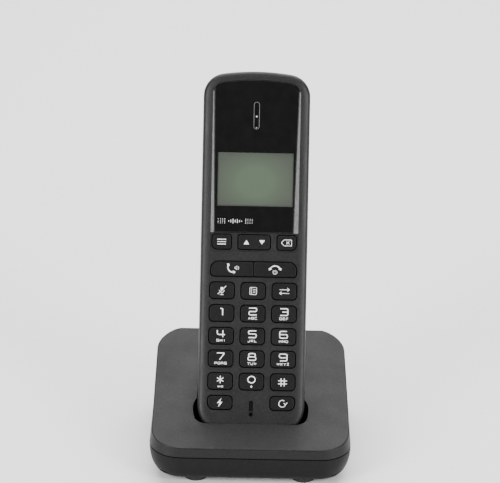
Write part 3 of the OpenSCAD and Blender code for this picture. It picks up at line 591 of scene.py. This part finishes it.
for row, names in enumerate(GRID):
    for column, name in enumerate(names):
        KEYS.append((name, (column - 1) * COLUMN, FIRST_ROW + row * ROW, KEY_W, KEY_H, (KEY_R,) * 4))


HOLE_FLARE = 0.13     # radius of the rim round each key's hole
POCKET_FLARE = 0.3    # radius of the rim round the lens's pocket


def opening(x, top, w, h, radii):
    """A key's hole in the face, as a function of how much it is grown."""
    corners = [r + KEY_GAP for r in radii]
    return lambda grow: rounded(w + 2 * KEY_GAP, h + 2 * KEY_GAP, corners, x, up_from(top), -grow)


def make_face_cover():
    face = face_solid()
    boolean(face, frame_copy("handset_front_cover"), "INTERSECT")
    bm = bmesh.new()
    for _, x, top, w, h, radii in KEYS:
        if top not in (TALK_ROW, SOFT_ROW):
            flare(bm, opening(x, top, w, h, radii), HOLE_FLARE)
    flare(bm, opening(0, TALK_ROW, 2 * TALK_X + TALK_W, TALK_H, (3.2, 3.2, 1.3, 1.3)), HOLE_FLARE)
    flare(bm, lambda grow: recess_outline(-grow), POCKET_FLARE, LAP)
    boolean(face, new_object("rims", bm, HANDSET), "DIFFERENCE")
    finish_shape(face)
    skin(face, CASE, "handset", "case", "handset_front_cover")


def make_mic_gauze():
    """A web across the microphone slot, which leaves its lower end open; its near-black colour is partly the
    gauze's own and partly painted shade of the slot.
    """
    web = rounded(MIC_W - 0.1, MIC_H - 2.7, MIC_W / 2 - 0.06, 0, up_from(MIC_TOP) + 1.3)
    bm = bmesh.new()
    loft(bm, [on_face(web, 0.59), on_face(web, 0.4)])
    gauze = new_object("mic_slot_gauze", bm, HANDSET)
    finish_shape(gauze)
    skin(gauze, SHADE_BLACK, "handset", "socket")


def make_back_covers():
    """The rear cover and the battery door, both cut from the same solid so that they lie flush."""
    back = back_solid()
    door = back.copy()
    door.data = back.data.copy()
    door.name = "battery_door_shell"
    bpy.context.scene.collection.objects.link(door)
    boolean(back, frame_copy("handset_rear_cover"), "INTERSECT")
    finish_shape(back)
    skin(back, CASE, "handset", "case", "handset_rear_cover")
    boolean(door, frame_copy("battery_door"), "INTERSECT")
    finish_shape(door)
    skin(door, CASE, "battery_door", "case", "battery_door")


# ---------- Keys ----------

KEY_EDGE = 0.26                        # radius of a cap's top edge
PLUNGER_R, PLUNGER_BACK = 1.5, 3.78
FLANGE_FRONT, FLANGE_BACK = 2.62, 3.28
FLANGE_R, FLANGE_OUT = 0.6, 0.5        # the flange behind the face that keeps a key in
NAV_FLANGE_W = 5.0


def key_front(top):
    """Depth of a key's face, by its row."""
    return SKIN - (SOFT_RISE if top == SOFT_ROW else KEY_RISE)


def make_key(name, x, top, w, h, radii):
    """One closed keycap: plunger, retaining flange, cap and rounded top edge."""
    u = up_from(top)
    out = 0 if name in ("talk_key", "end_key") else FLANGE_OUT
    flange_w = NAV_FLANGE_W if name == "nav_key" else w + 2 * out
    plunger = rounded(2 * PLUNGER_R, 2 * PLUNGER_R, PLUNGER_R, x, u, SKIN)
    flange = rounded(flange_w, h + 2 * FLANGE_OUT, FLANGE_R, x, u, SKIN)

    def cap(inset, depth):
        return on_face(rounded(w, h, radii, x, u, SKIN + inset), depth)

    rings = [on_face(plunger, PLUNGER_BACK), on_face(plunger, FLANGE_BACK), on_face(flange, FLANGE_BACK),
             on_face(flange, FLANGE_FRONT), cap(0, FLANGE_FRONT)]
    rings += [cap(KEY_EDGE * inward, key_front(top) + KEY_EDGE * below) for inward, below in quarter_round(5)]
    bm = bmesh.new()
    loft(bm, rings)
    key = new_object(name.replace("key_", "digit_") + "_cap", bm, HANDSET)
    finish_shape(key)
    skin(key, KEYCAP, name, "key", name)


# ---------- Legends: flat strokes on the keycaps ----------

INK_T = 0.02         # thickness of the printed ink
INK_SUNK = 0.004     # how far the ink reaches into the plastic
DIGIT_X, DIGIT_Y, DIGIT_R = 1.68, 1.48, 0.7
STROKE = 0.42


def bend(points, r, closed=False):
    """A polyline with its corners rounded."""
    out = []
    n = len(points)
    for k, p in enumerate(points):
        p = Vector(p)
        if not closed and k in (0, n - 1):
            out.append(p)
            continue
        a, b = Vector(points[k - 1]), Vector(points[(k + 1) % n])
        to_a, to_b = (a - p).normalized(), (b - p).normalized()
        half = to_a.angle(to_b) / 2
        cut = min(r / math.tan(half), (a - p).length * 0.49, (b - p).length * 0.49)
        start, end = p + to_a * cut, p + to_b * cut
        for s in range(6):
            t = s / 5
            out.append((1 - t) ** 2 * start + 2 * t * (1 - t) * p + t * t * end)
    return out


def ring_of(cx, cy, rx, ry, n=24):
    """Points on an ellipse."""
    turns = [2 * math.pi * k / n for k in range(n)]
    return [(cx + rx * math.cos(a), cy + ry * math.sin(a)) for a in turns]


def prism(bm, columns, closed, low, high):
    """Closed solid between two heights: columns are pairs of side points."""
    rows = [[bm.verts.new((p[0], d, p[1])) for d in (low, high) for p in (a, b)] for a, b in columns]
    n = len(rows)
    for k in range(n if closed else n - 1):
        p, q = rows[k], rows[(k + 1) % n]
        for i, j in ((0, 1), (1, 3), (3, 2), (2, 0)):
            bm.faces.new((p[i], p[j], q[j], q[i]))
    if not closed:
        for row in (rows[0], rows[-1]):
            bm.faces.new((row[0], row[1], row[3], row[2]))


def stroke(bm, points, width, low, high, closed=False):
    """A line of even width along a polyline, as a thin solid between two depths."""
    pts = [Vector(p) for p in points]
    n = len(pts)
    columns = []
    for k, p in enumerate(pts):
        before = pts[k - 1] if closed or k else p
        after = pts[(k + 1) % n] if closed or k < n - 1 else p
        a = (p - before).normalized() if p != before else (after - p).normalized()
        b = (after - p).normalized() if after != p else a
        side = Vector((-(a + b).y, (a + b).x)).normalized()
        reach = width / 2 / max(side.dot(Vector((-a.y, a.x))), 0.5)
        columns.append((p + side * reach, p - side * reach))
    prism(bm, columns, closed, low, high)


def fill(bm, points, low, high):
    """A flat shape as a thin solid between two depths."""
    lower = [bm.verts.new((x, low, y)) for x, y in points]
    upper = [bm.verts.new((x, high, y)) for x, y in points]
    n = len(points)
    bm.faces.new(lower)
    bm.faces.new(upper[::-1])
    for k in range(n):
        bm.faces.new((lower[k], lower[(k + 1) % n], upper[(k + 1) % n], upper[k]))


X, Y, R = DIGIT_X, DIGIT_Y, DIGIT_R
# Digit strokes: (points, corner radius, closed)
DIGITS = {
    "1": [([(-0.55, Y), (0.45, Y), (0.45, -Y)], 0.8, False)],
    "2": [([(-X, Y), (X, Y), (X, 0), (-X, 0), (-X, -Y), (X, -Y)], R, False)],
    "3": [([(-X, Y), (X, Y), (X, -Y), (-X, -Y)], R, False), ([(-0.7, 0), (X - 0.3, 0)], 0, False)],
    "4": [([(-X, Y), (-X, -0.4), (X, -0.4)], R, False), ([(0.75, Y), (0.75, -Y)], 0, False)],
    "5": [([(X, Y), (-X, Y), (-X, 0.1), (X, 0.1), (X, -Y), (-X, -Y)], R, False)],
    "6": [([(X - 0.3, Y), (-X, Y), (-X, -Y), (X, -Y), (X, 0.1), (0.3 - X, 0.1)], R, False)],
    "7": [([(-X, Y), (X, Y), (-0.45, -Y)], 0.35, False)],
    "8": [([(0.25 - X, Y), (X - 0.25, Y), (X - 0.25, 0.05), (0.25 - X, 0.05)], R, True),
          ([(-X, 0.05), (X, 0.05), (X, -Y), (-X, -Y)], R, True)],
    "9": [([(0.3 - X, -Y), (X, -Y), (X, Y), (-X, Y), (-X, -0.1), (X - 0.3, -0.1)], R, False)],
}
LETTERS = {"2": "ABC", "3": "DEF", "4": "GHI", "5": "JKL", "6": "MNO", "7": "PQRS", "8": "TUV", "9": "WXYZ"}
LETTER_HALF, LETTER_PITCH, LETTER_STROKE, LETTER_Y = 0.46, 1.42, 0.2, -2.0
# Letter strokes on a square from -1 to 1, and two shapes that letters share
BOX = [(-1, 1), (1, 1), (1, -1), (-1, -1)]
BOWL = [(-1, -1), (-1, 1), (1, 1), (1, -0.1), (-1, -0.1)]
STROKES = {
    "A": [[(-1, -1), (0, 1), (1, -1)], [(-0.6, -0.4), (0.6, -0.4)]],
    "B": [[(0.8, 0), (0.8, 1), (-1, 1), (-1, -1), (1, -1), (1, 0), (-1, 0)]],
    "C": [[(1, 1), (-1, 1), (-1, -1), (1, -1)]],
    "D": [[(-1, -1), (-1, 1), (0.5, 1), (1, 0.4), (1, -0.4), (0.5, -1), (-1, -1)]],
    "E": [[(1, 1), (-1, 1), (-1, -1), (1, -1)], [(-1, 0), (0.7, 0)]],
    "F": [[(1, 1), (-1, 1), (-1, -1)], [(-1, 0), (0.7, 0)]],
    "G": [[(1, 1), (-1, 1), (-1, -1), (1, -1), (1, 0), (0.1, 0)]],
    "H": [[(-1, 1), (-1, -1)], [(1, 1), (1, -1)], [(-1, 0), (1, 0)]],
    "I": [[(0, 1), (0, -1)]],
    "J": [[(0.8, 1), (0.8, -1), (-0.9, -1), (-0.9, -0.3)]],
    "K": [[(-1, 1), (-1, -1)], [(1, 1), (-0.8, 0), (1, -1)]],
    "L": [[(-1, 1), (-1, -1), (1, -1)]],
    "M": [[(-1, -1), (-1, 1), (0, -0.3), (1, 1), (1, -1)]],
    "N": [[(-1, -1), (-1, 1), (1, -1), (1, 1)]],
    "O": [BOX + BOX[:2]],
    "P": [BOWL],
    "Q": [BOX + BOX[:2], [(0.3, -0.4), (1.1, -1.2)]],
    "R": [BOWL, [(0.1, -0.1), (1, -1)]],
    "S": [[(1, 1), (-1, 1), (-1, 0), (1, 0), (1, -1), (-1, -1)]],
    "T": [[(-1, 1), (1, 1)], [(0, 1), (0, -1)]],
    "U": [[(-1, 1), (-1, -1), (1, -1), (1, 1)]],
    "V": [[(-1, 1), (0, -1), (1, 1)]],
    "W": [[(-1.2, 1), (-0.6, -1), (0, 0.6), (0.6, -1), (1.2, 1)]],
    "X": [[(-1, 1), (1, -1)], [(-1, -1), (1, 1)]],
    "Y": [[(-1, 1), (0, 0), (1, 1)], [(0, 0), (0, -1)]],
    "Z": [[(-1, 1), (1, 1), (-1, -1), (1, -1)]],
}


def letter_lines(text):
    """A centred word as polylines."""
    for k, letter in enumerate(text):
        cx = (k - (len(text) - 1) / 2) * LETTER_PITCH
        for line in STROKES[letter]:
            yield bend([(cx + x * LETTER_HALF, LETTER_Y + y * LETTER_HALF) for x, y in line], 0.12)


def receiver(cx, cy, radius, turn):
    """A telephone receiver: a bowed grip with a cup at each end, as strokes (points, width)."""
    place = Matrix.Rotation(math.radians(turn), 2)
    grip = [place @ Vector(p) + Vector((cx, cy)) for p in arc(0, 0, radius, 30, 150, 10)]
    out = [(grip, 0.5)]
    for side in (-1, 1):
        a = math.radians(90 - side * 58)
        tip = Vector((radius * math.cos(a), radius * math.sin(a)))
        cup = [place @ (tip + Vector((-0.5 * side * 0.9, 0.12))) + Vector((cx, cy)),
               place @ (tip + Vector((0.55 * side, -0.35))) + Vector((cx, cy))]
        out.append((cup, 0.85))
    return out


def small_key():
    """The keylock mark under the star."""
    return [(ring_of(0.85, -2.25, 0.36, 0.3, 14), 0.2, True), ([(-1.05, -2.2), (0.5, -2.2)], 0.26, False),
            ([(-0.85, -2.2), (-0.85, -2.6)], 0.24, False), ([(-0.35, -2.2), (-0.35, -2.52)], 0.24, False)]


def icon_strokes(name):
    """Every other legend as strokes: (points, width, closed)."""
    if name == "key_star":
        arms = []
        for turn in (90, 30, 150):
            dx, dy = 1.6 * math.cos(math.radians(turn)), 1.6 * math.sin(math.radians(turn))
            arms.append(([(dx, 0.75 + dy), (-dx, 0.75 - dy)], 0.36, False))
        return arms + small_key()
    if name == "key_0":
        return [(ring_of(0, 0.95, 1.6, 1.42, 32), 0.42, True), ([(-0.5, -2.1), (0.5, -2.1)], 0.24, False),
                ([(0, -2.6), (0, -1.6)], 0.24, False)]
    if name == "key_hash":
        return [([(x, -1.75), (x, 1.75)], 0.34, False) for x in (-0.7, 0.7)] + [
            ([(-1.95, y), (1.95, y)], 0.34, False) for y in (-0.66, 0.66)]
    if name == "talk_key":
        horn = [(1.15, 0.75), (1.5, 0.75), (2.05, 1.3), (2.05, -0.3), (1.5, 0.25), (1.15, 0.25)]
        wave = arc(1.9, 0.5, 0.95, -48, 48, 8)
        handle = [(p, w, False) for p, w in receiver(0.35, 0.85, 2.3, 128)]
        return handle + [(horn, 0.18, True), (wave, 0.22, False)]
    if name == "end_key":
        return [(p, w, False) for p, w in receiver(0, -0.95, 2.55, 0)] + [
            (arc(0, -1.1, 0.88, 125, 415, 18), 0.22, False), ([(0, -0.2), (0, -1.1)], 0.22, False)]
    if name == "mute_key":
        return [([(-0.1, 1.45), (-0.1, 0.15)], 1.0, False), (arc(-0.1, 0.15, 1.05, 180, 360, 12), 0.2, False),
                ([(-0.1, -0.9), (-0.1, -1.8)], 0.24, False), ([(-0.95, -1.85), (0.75, -1.85)], 0.24, False),
                ([(1.75, 1.95), (-1.75, -1.6)], 0.3, False)]
    if name == "memory_key":
        cover = [(-1.45, 1.55), (1.45, 1.55), (1.45, -1.55), (-1.45, -1.55)]
        return [(bend(cover, 0.35, True), 0.22, True), ([(-0.7, 1.55), (-0.7, -1.55)], 0.18, False)] + [
            ([(-0.1, y), (0.95, y)], 0.2, False) for y in (0.65, 0, -0.65)]
    if name == "intercom_key":
        out = []
        for side in (-1, 1):
            y = 0.8 * side
            out += [([(-2.1, y), (2.1, y)], 0.24, False),
                    ([(side * 1.3, y + 0.68), (side * 2.1, y), (side * 1.3, y - 0.68)], 0.24, False)]
        return out
    if name == "menu_key":
        return [([(-1.9, y), (1.9, y)], 0.3, False) for y in (-1.05, 0, 1.05)]
    if name == "delete_key":
        tag = [(-2.4, 0), (-1.1, 1.3), (2.1, 1.3), (2.1, -1.3), (-1.1, -1.3)]
        return [(bend(tag, 0.25, True), 0.22, True), ([(-0.2, 0.6), (1.1, -0.6)], 0.24, False),
                ([(-0.2, -0.6), (1.1, 0.6)], 0.24, False)]
    if name == "redial_key":
        return [(arc(0, 0, 1.5, 55, 345, 24), 0.28, False),
                ([(2.15, 0.5), (1.45, -0.45), (0.65, 0.3)], 0.28, False)]
    return []


def make_legend(name, x, top):
    """A key's printed legend: a digit with its letters, an icon, or both."""
    low = key_front(top) + INK_SUNK
    level = iter(range(40))
    bm = bmesh.new()

    def high():
        """Each stroke ends a hair above the last, so that crossings don't coincide."""
        return low - INK_T - 0.001 * next(level)

    digit = name[-1] if name.startswith("key_") else ""
    if digit in DIGITS:
        lift = 0.95 if digit in LETTERS else 0.55
        for points, r, closed in DIGITS[digit]:
            line = bend(points, r, closed) if r else points
            stroke(bm, [(p[0], p[1] + lift) for p in line], STROKE, low, high(), closed)
    if digit in LETTERS:
        for line in letter_lines(LETTERS[digit]):
            stroke(bm, line, LETTER_STROKE, low, high())
    for points, width, closed in icon_strokes(name):
        stroke(bm, points, width, low, high(), closed)
    if name == "nav_key":
        for side in (-1, 1):
            cx, cy = 3.4 * side, 0.95 * side
            fill(bm, [(cx - 1.2, cy), (cx, -cy), (cx + 1.2, cy)], low, high())
    if name == "flash_key":
        bolt = [(0.7, 1.95), (-1.2, -0.2), (-0.15, -0.2), (-0.7, -1.95), (1.2, 0.3), (0.15, 0.3)]
        fill(bm, bolt, low, high())
    place = HANDSET @ Matrix.Translation((x, 0, up_from(top)))
    ink = new_object(name.replace("key_", "digit_") + "_legend", bm, place)
    skin(ink, PRINT, name, "key")


for spec in KEYS:
    make_key(*spec)
    make_legend(*spec[:3])
make_base()
make_face_cover()
make_mic_gauze()
make_back_covers()


# ---------- Lens and display ----------

LENS_GAP = 0.12       # play between the lens and its pocket
LENS_FRONT = 0.06
LENS_BEVEL = 0.3
WINDOW_U = up_from(LCD_TOP + LCD_H / 2)
EAR_R = EAR_W / 2 - 0.02
PIPES = ((20.0, 0.34), (24.9, 0.22))     # distance from the top, radius
DOT_PITCH, BAR_PITCH = (0.95, 0.64), 0.95
BAR_HEIGHTS = (0.7, 1.3, 2.0, 1.1, 1.7, 0.9, 0.5)


def lens_side(u, inset, side):
    """Where the lens's left (-1) or right (1) side lies at a height: it narrows a little downwards."""
    t = (HAND_L - u) / LENS_END
    strip = STRIP_THIN + (STRIP_WIDE[side > 0] - STRIP_THIN) * t
    return side * (RECESS_HALF - strip - inset)


def lens_outline(inset):
    bottom = up_from(LENS_END) + LENS_GAP
    points = []
    for x, u in recess_outline(LENS_GAP + inset):
        u = max(u, bottom + inset)
        x = max(x, lens_side(u, LENS_GAP + inset, -1))
        points.append((min(x, lens_side(u, LENS_GAP + inset, 1)), u))
    return points


def ear_slot(inset):
    return rounded(EAR_W, EAR_H, EAR_R, 0, up_from(EAR_TOP), inset)


def make_lens_plate():
    """The glossy plate with its bevel in light grey as a painted highlight, and windows for the display and
    the earpiece slot.
    """
    rings = [on_face(lens_outline(0), LENS_DEPTH - 0.1)]
    rings += [on_face(lens_outline(LENS_BEVEL * inward), LENS_FRONT + LENS_BEVEL * below)
              for inward, below in quarter_round(4)]
    bm = bmesh.new()
    rows = loft(bm, rings)
    # The bevel's faces take the second material, the painted highlight.
    bevel = {v for row in rows[1:] for v in row}
    for face in bm.faces:
        face.material_index = int(len(face.verts) == 4 and all(v in bevel for v in face.verts))
    lens = new_object("display_lens_plate", bm, HANDSET)

    bm = bmesh.new()
    loft(bm, [on_face(rounded(LCD_W, LCD_H, 0.25, 0, WINDOW_U, -grow, 4), depth)
              for grow, depth in ((0.5, -1), (0.22, LENS_FRONT), (0.0, 0.3), (0.0, 2))])
    loft(bm, [on_face(ear_slot(-grow), depth)
              for grow, depth in ((0.5, -1), (0.15, LENS_FRONT), (0.0, 0.25), (0.0, 2))])
    boolean(lens, new_object("windows", bm, HANDSET), "DIFFERENCE")
    finish_shape(lens)
    skin(lens, LENS, "handset", "lens", "display_lens")
    lens.data.materials.append(LENS_EDGE_HIGHLIGHT)


def make_ear_slot():
    """The rim inside the earpiece slot, light grey as a painted highlight of the slot's edges, and its two
    light pipes.
    """
    bm = bmesh.new()
    stroke(bm, ear_slot(0.14), 0.22, 0.42, 0.12, True)
    rim = new_object("earpiece_slot_rim", bm, HANDSET)
    finish_shape(rim)
    skin(rim, TRIM_HIGHLIGHT, "handset", "trim")

    bm = bmesh.new()
    for from_top, radius in PIPES:
        loft(bm, [on_face(ring_of(0, up_from(from_top), radius * k, radius * k, 20), d)
                  for k, d in ((1, 1.6), (1, 0.55), (0.92, 0.45), (0.7, 0.37), (0.35, 0.32))])
    dots = new_object("light_pipes", bm, HANDSET)
    finish_shape(dots)
    skin(dots, WHITE, "handset", "light")


def make_lens_pattern():
    """A printed level pattern: a dot grid each side of a row of bars."""
    bm = bmesh.new()
    low, high = LENS_FRONT + SKIN, 0.035
    centre = up_from(DOTS_TOP)
    for side in (-1, 1):
        for column in range(4):
            x = DOTS_X + side * (4.6 + DOT_PITCH[0] * column)
            for row in range(4):
                u = centre + DOT_PITCH[1] * (row - 1.5)
                fill(bm, rounded(0.24 if column else 0.34, 0.22, 0.08, x, u, 0, 3), low, high)
    for k, height in enumerate(BAR_HEIGHTS):
        fill(bm, rounded(0.24, height, 0.1, DOTS_X + BAR_PITCH * (k - 3), centre, 0, 3), low, high)
    skin(new_object("lens_pattern", bm, HANDSET), PRINT, "handset", "trim")


def make_display_pane():
    bm = bmesh.new()
    loft(bm, [on_face(rounded(LCD_W + 0.6, LCD_H + 0.6, 0.4, 0, WINDOW_U, inset, 4), depth)
              for inset, depth in ((0, 1.38), (0, 0.75), (0.05, 0.7))])
    pane = new_object("display_pane", bm, HANDSET)
    finish_shape(pane)
    skin(pane, LCD, "handset", "lcd")


make_lens_plate()
make_ear_slot()
make_lens_pattern()
make_display_pane()


# ---------- Materials of the frame's own parts ----------

FRAME_MATERIALS = {
    "base_feet": RUBBER, "base_screws": STEEL, "base_pcb": BOARD, "base_rf_shield": STEEL,
    "base_antenna": BRASS, "line_socket": GLOSS, "power_socket": GLOSS, "page_button": KEYCAP,
    "page_board": BOARD, "page_switch": STEEL, "charge_contact_left": NICKEL,
    # lens_trim takes the light grey painted highlight of the lens's bevelled sides.
    "charge_contact_right": NICKEL, "lens_trim": TRIM_HIGHLIGHT, "lcd_panel": LCD, "lcd_backlight": WHITE,
    "handset_pcb": BOARD, "handset_rf_shield": STEEL, "handset_antenna": BRASS, "keypad_mat": MAT_GREY,
    "dome_sheet": STEEL, "earpiece_speaker": SPEAKER, "loudspeaker": SPEAKER, "microphone": SPEAKER,
    "battery_cell_left": CELL, "battery_cell_right": CELL, "battery_contacts": NICKEL,
    "charge_pads": NICKEL, "handset_screws": STEEL,
}
for name, material in FRAME_MATERIALS.items():
    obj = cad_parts[name]
    if not obj.material_slots:
        obj.data.materials.append(material)
    for slot in obj.material_slots:
        slot.material = material


# ---------- Floor, light and camera ----------

FLOOR_HALF = 1500.0
LIGHT_TARGET = (0, 0, 0.08)
# Soft boxes: name, place and size in metres, power in watts
LIGHTS = (
    ("left softbox", (-0.8, -0.72, 0.5), (0.3, 0.9), 14),
    ("right softbox", (0.84, -0.7, 0.48), (0.3, 0.9), 13),
    ("top softbox", (0.0, 0.45, 1.2), (1.5, 1.1), 32),
    ("back softbox", (0.15, 1.15, 0.5), (1.2, 0.5), 7),
)
WORLD_LIGHT = 0.3
# The camera: focal length in pixels of a picture 500 wide, distance and aim in millimetres, degrees
FOCAL_PX, PICTURE_W, SENSOR_W = 1800.0, 500, 36
CAMERA_DISTANCE = 733.6
CAMERA_AIM = (-2.31, FRONT_Y, 116.26)
PITCH, ROLL, YAW = 23.43, 1.37, 0.54


def make_floor():
    bm = bmesh.new()
    corners = ((-1, -1), (1, -1), (1, 1), (-1, 1))
    bm.faces.new([bm.verts.new((x * FLOOR_HALF, y * FLOOR_HALF, -LAP)) for x, y in corners])
    floor = new_object("floor", bm)
    mat, tree, bsdf = shader("floor", (0.93, 0.93, 0.93), 0.6)
    bump(tree, bsdf, noise(tree, 60, 3), 0.0001)
    floor.data.materials.append(mat)


def make_light(name, place, size, power):
    data = bpy.data.lights.new(name, "AREA")
    data.shape = "RECTANGLE"
    data.size, data.size_y = size
    data.energy = power
    obj = bpy.data.objects.new(name, data)
    obj.location = place
    aim = Vector(LIGHT_TARGET) - Vector(place)
    obj.rotation_euler = aim.to_track_quat("-Z", "Y").to_euler()
    bpy.context.scene.collection.objects.link(obj)


def make_camera():
    """A long lens, almost level with the handset's face, rolled slightly clockwise."""
    p, w = math.radians(PITCH), math.radians(YAW)
    forward = Vector((math.sin(w) * math.cos(p), math.cos(w) * math.cos(p), -math.sin(p)))
    data = bpy.data.cameras.new("camera")
    data.sensor_width = SENSOR_W
    data.lens = FOCAL_PX / PICTURE_W * SENSOR_W
    data.clip_start = 0.01
    data.clip_end = 50
    cam = bpy.data.objects.new("camera", data)
    turn = forward.to_track_quat("-Z", "Y").to_matrix().to_4x4()
    place = Matrix.Translation((Vector(CAMERA_AIM) - forward * CAMERA_DISTANCE) * MM)
    cam.matrix_world = place @ turn @ Matrix.Rotation(math.radians(ROLL), 4, "Z")
    bpy.context.scene.collection.objects.link(cam)
    bpy.context.scene.camera = cam


def make_world():
    world = bpy.data.worlds.new("studio")
    world.use_nodes = True
    background = world.node_tree.nodes["Background"]
    background.inputs["Color"].default_value = (1, 1, 1, 1)
    background.inputs["Strength"].default_value = WORLD_LIGHT
    bpy.context.scene.world = world


make_floor()
make_camera()
for light in LIGHTS:
    make_light(*light)
make_world()
